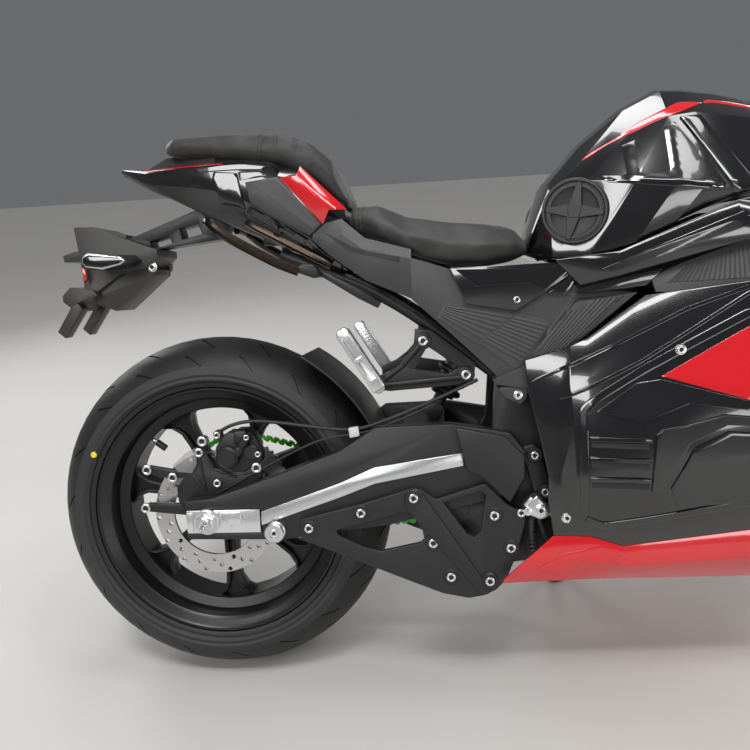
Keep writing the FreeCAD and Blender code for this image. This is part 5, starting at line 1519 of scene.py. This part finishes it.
def pad(node, grow, cell=0.005):
    """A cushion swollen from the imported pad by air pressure, its growth held within a limit in mm."""
    obj = cad_copy(node, node + "_pad")
    outward(obj, 0.00002)
    for axis in range(3):
        low, high = extent(obj, axis)
        for vertex in obj.data.vertices:
            vertex.co[axis] -= (2 * vertex.co[axis] - low - high) * PAD_SHRINK * MM / (high - low)
    modified(obj, "REMESH", mode="VOXEL", voxel_size=cell, use_smooth_shade=True)
    modified(obj, "SMOOTH", factor=0.5, iterations=3)
    before = [vertex.co.copy() for vertex in obj.data.vertices]
    choose(obj)
    cloth = obj.modifiers.new("cloth", "CLOTH")
    for key, value in CLOTH.items():
        setattr(cloth.settings, key, value)
    cloth.settings.effector_weights.gravity = 0.0
    cloth.point_cache.frame_start = 1
    cloth.point_cache.frame_end = CLOTH_FRAMES
    for number in range(1, CLOTH_FRAMES + 1):
        bpy.context.scene.frame_set(number)
    bpy.ops.object.modifier_apply(modifier=cloth.name)
    bpy.context.scene.frame_set(1)
    for vertex, start in zip(obj.data.vertices, before):
        step = vertex.co - start
        if step.length > grow * MM:
            vertex.co = start + step * (grow * MM / step.length)
    modified(obj, "SMOOTH", factor=0.5, iterations=5)
    for axis in range(3):
        low, high = extent(obj, axis)
        first, last = extent(frame["nodes"][node], axis)
        share = (last - first) / (high - low)
        for vertex in obj.data.vertices:
            vertex.co[axis] = first + (vertex.co[axis] - low) * share
    return obj


def around(base, x, low, high, steps):
    """Places and outward ways round a pad at a distance along the bike, from one lower edge over the top."""
    inner = Vector((x, 0, 0.5 * (low + high) - 30))
    places = []
    for step in range(steps + 1):
        angle = radians(-82 + 164 * step / steps)
        way = Vector((0, sin(angle), cos(angle)))
        start = BIKE @ ((inner + 260 * way) * MM)
        hit, place, normal, index = base.ray_cast(start, -(BIKE.to_3x3() @ way), distance=0.26)
        if hit:
            places.append((BIKE.inverted() @ place, BIKE.to_3x3().inverted() @ normal))
    return places


def seam(base, name, x, low, high, sides=(-3.5, 3.5)):
    """A sewn seam over a pad: a cord in a shallow line, with a row of stitches on each side."""
    length = sizes().stitch_length
    line = around(base, x, low, high, 90)
    cord = pipe(name + "_cord", [place / MM + 0.1 * normal for place, normal in line], 0.9, 2)
    fitted(cord, BIKE, "thread", "chassis")
    stitches = []
    for offset in sides:
        row = around(base, x + offset, low, high, 240)
        travel = 0.0
        last = row[0][0]
        for place, normal in row[1:]:
            step = place - last
            travel += step.length
            if travel > 1.5 * length:
                travel = 0.0
                middle = place / MM + 0.35 * normal
                half = 0.5 * length / MM * step.normalized()
                stitches.append(rod_between("stitch", middle - half, middle + half, 0.75, 6))
            last = place
    fitted(joined(name + "_stitches", stitches), BIKE, "thread", "chassis")


class BIKE_OT_seats(bpy.types.Operator):
    """Swells the two pads and sews their seams"""
    bl_idname = "bike.seats"
    bl_label = "Seats"

    def execute(self, context):
        seams = {"rider_seat": (4.5, "rider_seam", (284, 292), 800, 840, (3.5,)),
                 "passenger_seat": (5.0, "passenger_seam", (126, 152, 186), 940, 975, (-3, 3))}
        for node, (grow, label, places, low, high, sides) in seams.items():
            cushion = pad(node, grow)
            modified(cushion, "SUBSURF", levels=1, render_levels=1)
            smoothed(cushion, 60)
            fitted(cushion, None, "vinyl", "chassis", [node])
            for x in places:
                seam(cushion, label, x, low, high, sides)
        return {"FINISHED"}


# Tail fittings

def rails():
    """The bronze grab rails: a round outer tube, a flatter inner one and their black end fittings."""
    outer = pipe("outer_rail", [(26, 92, 834), (34, 112, 834), (42, 126, 828), (62, 131, 808), (98, 131, 786),
                                (131, 130, 767), (160, 130, 751), (188, 128, 740)], 8.5)
    inner = pipe("inner_rail", [(100, 104, 827), (112, 111, 819), (150, 112, 798), (190, 112, 775), (222, 112, 757),
                                (240, 110, 747)], 6.5)
    paired(joined("rail_tubes", [outer, inner]), "bronze_metal", ["grab_rails"])
    end = extruded("rail_end", [(181, 747), (183, 739), (213, 727), (224, 729), (221, 740), (214, 750), (196, 752)],
                   112, 134, 3, 3)
    bar = extruded("rail_bar", [(216, 745), (221, 731), (283, 690), (316, 672), (322, 682), (290, 704)], 108, 116, 2)
    paired(joined("rail_ends", [end, bar]), "black_metal")


def carrier_details():
    """A dark glass in a bright bezel on each rear signal, the side reflectors and the carrier's bolts."""
    dressed("plate_carrier", "brown_grey", 1.2)
    dressed("rear_signals", "hose_rubber", 2.0, 3)
    outline = [(-190, 784), (-180, 790), (-123, 781), (-115, 774), (-124, 768), (-156, 761), (-186, 766), (-192, 775)]
    bezel = extruded("signal_bezel", outline, 112, 120, 0.7)
    paired(bezel, "machined")
    inner = [(-153 + 0.94 * (x + 153), 775 + 0.78 * (z - 775)) for x, z in outline]
    paired(extruded("signal_glass", inner, 112, 121.5, 0.7), "gloss_black")
    reflector = extruded("side_reflector", [(-222, 769), (-215, 767), (-213, 749), (-219, 741)], 56, 64, 1)
    paired(reflector, "red_lens")
    bolted("carrier_bolts", [(-98, 42, 764)], 7, 4, 9)


class BIKE_OT_tail_fittings(bpy.types.Operator):
    """Makes the rails and dresses the hanger, the plate carrier and the signals"""
    bl_idname = "bike.tail_fittings"
    bl_label = "Tail fittings"

    def execute(self, context):
        rails()
        dressed("plate_hanger", "black_metal", 1.5)
        carrier_details()
        return {"FINISHED"}


# Front end. Places on the fork are in its own frame: X ahead of the steering axis, Z up along it

WHEELBASE = 1400
BAR_ROOT = Vector((10, 123, 651))
BAR_WAY = Vector((-0.22, 0.96, -0.14)).normalized()


def along_bar(piece, reach):
    """Turns a piece made along Y onto the left bar, starting at a reach from its root."""
    turn = BAR_WAY.to_track_quat("Y", "Z").to_matrix().to_4x4()
    return moved(piece, BAR_ROOT + reach * BAR_WAY, turn)


def bar_controls():
    ribs = [(0, 11), (0, 21), (3, 22), (5, 21), (6, 17)]
    for number in range(24):
        y = 8 + 4.6 * number
        ribs += [(y, 16.6), (y + 0.6, 17.8), (y + 3.2, 17.8), (y + 3.8, 16.6)]
    ribs += [(122, 17), (124, 15), (124, 11)]
    grip = along_bar(turned("grip", ribs, 32), 100)
    on_fork(grip, "hose_rubber")
    weight = along_bar(turned("bar_weight", [(0, 0), (0, 15), (2, 16), (12, 16), (16, 12), (16, 0)], 28), 224)
    on_fork(weight, "machined")
    outline = [(-21, -17), (19, -17), (24, -6), (24, 14), (14, 21), (-16, 21), (-21, 12)]
    box = along_bar(extruded("switch_box", outline, 0, 36, 4, 3), 60)
    keys = [along_bar(extruded("key", [(x, 20), (x + 9, 20), (x + 9, 24), (x, 24)], y, y + 9, 1), 60)
            for x, y in ((-14, 6), (0, 6), (-8, 21))]
    on_fork(joined("switch_boxes", [box] + keys), "fine_black")
    root = BAR_ROOT + 40 * BAR_WAY + Vector((42, 4, 0))
    blade = pipe("lever", [root + Vector(step) for step in (
        (-4, 0, 0), (10, 22, -1), (15, 60, -6), (11, 110, -13), (12, 146, -19), (17, 160, -22))], 5)
    pivot = rod_between("lever_pivot", root + Vector((0, 0, -9)), root + Vector((0, 0, 9)), 8)
    on_fork(joined("levers", [blade, pivot]), "machined")
    pot = built("brake_reservoir", (
        (rod_between, (52, -152, 668), (52, -152, 700), 17, 28),
        (rod_between, (52, -152, 700), (52, -152, 706), 18.5, 12),
        (rod_between, (40, -148, 652), (50, -152, 676), 5)))
    fitted(pot, FORK, "fine_black", "fork")


def fork_details():
    cap = turned("fork_cap", [(0, 0), (0, 23), (4, 23), (6, 21), (6, 12), (11, 12), (12, 11), (12, 0)], 32)
    moved(cap, (36, 105, 664), Matrix.Rotation(pi / 2, 4, "X"))
    screws = [bolt("clamp_screw", (64, 84, z), 5, 4, 0, (1, 0, 0)) for z in (437, 455)]
    on_fork(joined("fork_caps", [cap] + screws), "bright_bolt")
    face = [(86, 0), (86, 15), (90, 15), (91.5, 13.5), (91.5, 11), (90, 10), (90, 0)]
    faces = built("caliper_faces", (
        (turned, face, 32, (-62, 84)),
        (turned, face, 32, (-48, 122)),
        (rod_between, (-84, 88, 66), (-70, 88, 142), 4, 10),
        (rod_between, (-30, 88, 66), (-22, 88, 140), 4, 10)))
    on_fork(faces, "black_metal")
    screws = [bolt("caliper_screw", (x, 92, z), 6, 5, 0, (0, 1, 0)) for x, z in ((-14, 74), (-12, 116))]
    on_fork(joined("caliper_screws", screws), "bright_bolt")
    rows = []
    for number in range(8):
        angle = 2 * pi * number / 8
        x, z = 109 * sin(angle), 109 * cos(angle)
        rows.append((rod_between, (x, 61, z), (x, 71, z), 7, 14))
    fitted(both_sides(built("disc_studs", rows)), FRONT_WHEEL, "bright_bolt", "front_wheel")
    hose = pipe("front_hose", [(-40, 78, 148), (-34, 80, 200), (-4, 80, 300), (4, 82, 400), (0, 84, 428)], 3.2)
    on_fork(hose, "hose_rubber")


def lamps():
    """Projector lenses and a strip of daytime light in each headlight."""
    lamp = dressed("headlights", "clear_lens", 0.8)
    strip = draped("day_strip", [(WHEELBASE - 38, 836), (WHEELBASE + 64, 846), (WHEELBASE + 124, 842),
                                 (WHEELBASE + 124, 838), (WHEELBASE + 64, 841), (WHEELBASE - 38, 831)], lamp, 0.8)
    paired(strip, "day_light")
    bezels = [draped("bezel", oval((WHEELBASE + x, 823), 15, 12), lamp, 1.2, 1.0, 16.0, 0.5, 2) for x in (14, 58)]
    paired(joined("lamp_bezels", bezels), "fine_black")
    eyes = [draped("eye", oval((WHEELBASE + x, 823), 11, 8.5), lamp, 2.4, 1.0, 16.0, 1.0, 3) for x in (14, 58)]
    paired(joined("lamp_eyes", eyes), "mirror_glass")


def cockpit():
    """The dash's glass and the mirrors' glass, which face the rider."""
    dressed("dashboard", "fine_black", 3.0)
    glass = extruded("dash_glass", [(-66, 9), (66, 9), (66, 76), (-66, 76)], 7.6, 9.2, 0.5)
    turn = Matrix.Rotation(radians(-24), 4, "Y") @ Matrix.Rotation(pi / 2, 4, "Z")
    moved(glass, (WHEELBASE - 106, 0, 932), turn)
    fitted(glass, BIKE, "screen_glass", "chassis")
    dressed("mirrors", "fine_black", 2.5, 3)
    outline = [(238, 1037), (300, 1041), (364, 1055), (366, 1085), (300, 1096), (238, 1075)]
    mirror = extruded("mirror_glasses", outline, 58, 63, 0.4)
    mirror.data.transform(Matrix.Rotation(pi / 2, 4, "Z"))
    for vertex in mirror.data.vertices:
        vertex.co.x += WHEELBASE * MM - (vertex.co.y - 0.238) * 0.1
    paired(mirror, "mirror_glass")


def nose():
    skin = dressed("nose_fairing", "gloss_black", 1.5)
    panels(skin, (
        ("nose_flash", "gloss_red", 0.9, 0.3, [(WHEELBASE - 150, 838), (WHEELBASE - 60, 872), (WHEELBASE + 60, 882),
            (WHEELBASE + 62, 872), (WHEELBASE - 56, 860), (WHEELBASE - 146, 822)]),
        # A dark sheet over the intake opening is painted shade.
        ("nose_intake_shade", "matt_black", 0.6, 0.2, [(WHEELBASE + 40, 762), (WHEELBASE + 118, 782),
            (WHEELBASE + 120, 796), (WHEELBASE + 44, 786)]),
    ))


class BIKE_OT_front_end(bpy.types.Operator):
    """Dresses the fork and the nose and makes the bars, lamps and glass"""
    bl_idname = "bike.front_end"
    bl_label = "Front end"

    def execute(self, context):
        for node, finish, edge in (
                ("fork_outer_tubes", "bronze_metal", 1.0), ("fork_sliders", "black_metal", 2.0),
                ("lower_clamp", "black_metal", 2.5), ("upper_clamp", "black_metal", 2.5),
                ("front_axle", "machined", 0.8), ("front_calipers", "black_metal", 2.5),
                ("front_mudguard", "gloss_black", 1.0), ("handlebars", "fine_black", 1.5),
                ("windscreen", "smoked", 1.0)):
            dressed(node, finish, edge)
        bar_controls()
        fork_details()
        nose()
        lamps()
        cockpit()
        return {"FINISHED"}


# Stage

# The camera was found from the photograph: its place is in the row's frame, in metres
CAMERA_PLACE = (-0.27262, -1.35729, 0.93542)
CAMERA_YAW = -5.63
CAMERA_PITCH = 17.24
CAMERA_ROLL = 3.9
CAMERA_LENS = 34.56


def camera():
    yaw, pitch, roll = (radians(angle) for angle in (CAMERA_YAW, CAMERA_PITCH, CAMERA_ROLL))
    forward = Vector((sin(yaw) * cos(pitch), cos(yaw) * cos(pitch), -sin(pitch)))
    right = Vector((cos(yaw), -sin(yaw), 0))
    down = forward.cross(right)
    x = cos(roll) * right + sin(roll) * down
    y = sin(roll) * right - cos(roll) * down
    data = bpy.data.cameras.new("photo_camera")
    data.lens = CAMERA_LENS
    data.sensor_width = 36.0
    obj = bpy.data.objects.new("photo_camera", data)
    linked(obj)
    obj.matrix_world = axes_at(CAMERA_PLACE, x, y, -forward)
    bpy.context.scene.camera = obj


def softbox(name, place, aim, size, power, colour=(1, 1, 1)):
    data = bpy.data.lights.new(name, "AREA")
    data.shape = "RECTANGLE"
    data.size, data.size_y = size
    data.energy = power
    data.color = colour
    obj = bpy.data.objects.new(name, data)
    linked(obj)
    obj.location = place
    obj.rotation_euler = (Vector(aim) - Vector(place)).to_track_quat("-Z", "Y").to_euler()


class BIKE_OT_stage(bpy.types.Operator):
    """Sets the pale floor, the soft lights and the photograph's camera"""
    bl_idname = "bike.stage"
    bl_label = "Stage"

    def execute(self, context):
        choose(next(iter(frame["nodes"].values())))
        bpy.ops.object.select_all(action="DESELECT")
        bpy.ops.mesh.primitive_plane_add(size=40)
        floor = primitive("floor")
        f = Finish("pale_floor", Specular_IOR_Level=0.3)
        point = f.place()
        f.paint("Base Color", f.mix(f.noise(point, 1.2), (0.46, 0.45, 0.43), (0.52, 0.51, 0.49)))
        f.paint("Roughness", f.noise(point, 5.0) * 0.1 + 0.5)
        floor.data.materials.append(f.material)
        world = bpy.context.scene.world or bpy.data.worlds.new("studio")
        bpy.context.scene.world = world
        world.use_nodes = True
        colour, strength = world.node_tree.nodes["Background"].inputs[:2]
        colour.default_value = (0.84, 0.86, 0.90, 1)
        strength.default_value = 0.17
        bpy.context.scene.view_settings.view_transform = "Standard"
        softbox("window", (-1.9, -3.4, 2.3), (0, 0, 0.5), (2.6, 0.9), 70)
        softbox("long_tube", (0.2, -1.9, 3.4), (0.2, 0, 0.4), (4.4, 0.22), 42)
        softbox("overhead", (0.2, 0.2, 3.8), (0, 0, 0.4), (4.2, 0.7), 70)
        softbox("counter", (2.8, 2.4, 2.4), (0, 0, 0.6), (2.0, 1.2), 42)
        softbox("behind", (-2.8, 2.0, 2.0), (0, 0, 0.6), (1.2, 1.8), 34)
        sky = bpy.data.lights.new("soft_sky", "SUN")
        sky.energy = 1.1
        sky.angle = radians(14)
        far = bpy.data.objects.new("soft_sky", sky)
        far.rotation_euler = (radians(22), 0, radians(-8))
        linked(far)
        softbox("low_fill", (1.6, -3.2, 0.7), (0.2, 0, 0.4), (1.6, 0.5), 14)
        camera()
        return {"FINISHED"}


OPERATORS = (BIKE_OT_stage, BIKE_OT_wheels, BIKE_OT_running_gear, BIKE_OT_frame, BIKE_OT_bodywork, BIKE_OT_seats,
             BIKE_OT_tail_fittings, BIKE_OT_front_end)


class BIKE_PT_panel(bpy.types.Panel):
    bl_idname = "BIKE_PT_panel"
    bl_label = "Sport bike"
    bl_space_type = "VIEW_3D"
    bl_region_type = "UI"
    bl_category = "Sport bike"

    def draw(self, context):
        for group in (context.scene.bike_paints, context.scene.bike_sizes):
            for key in group.__annotations__:
                self.layout.prop(group, key)
        for operator in OPERATORS:
            self.layout.operator(operator.bl_idname)


GROUPS = (PaintColours, BikeSizes)


def register():
    for cls in GROUPS + OPERATORS + (BIKE_PT_panel,):
        bpy.utils.register_class(cls)
    bpy.types.Scene.bike_paints = bpy.props.PointerProperty(type=PaintColours)
    bpy.types.Scene.bike_sizes = bpy.props.PointerProperty(type=BikeSizes)


def unregister():
    del bpy.types.Scene.bike_paints
    del bpy.types.Scene.bike_sizes
    for cls in reversed(GROUPS + OPERATORS + (BIKE_PT_panel,)):
        bpy.utils.unregister_class(cls)


def main():
    register()
    bpy.ops.object.select_all(action="DESELECT")
    for operator in OPERATORS:
        group, name = operator.bl_idname.split(".")
        getattr(getattr(bpy.ops, group), name)()


if __name__ == "__main__":
    main()
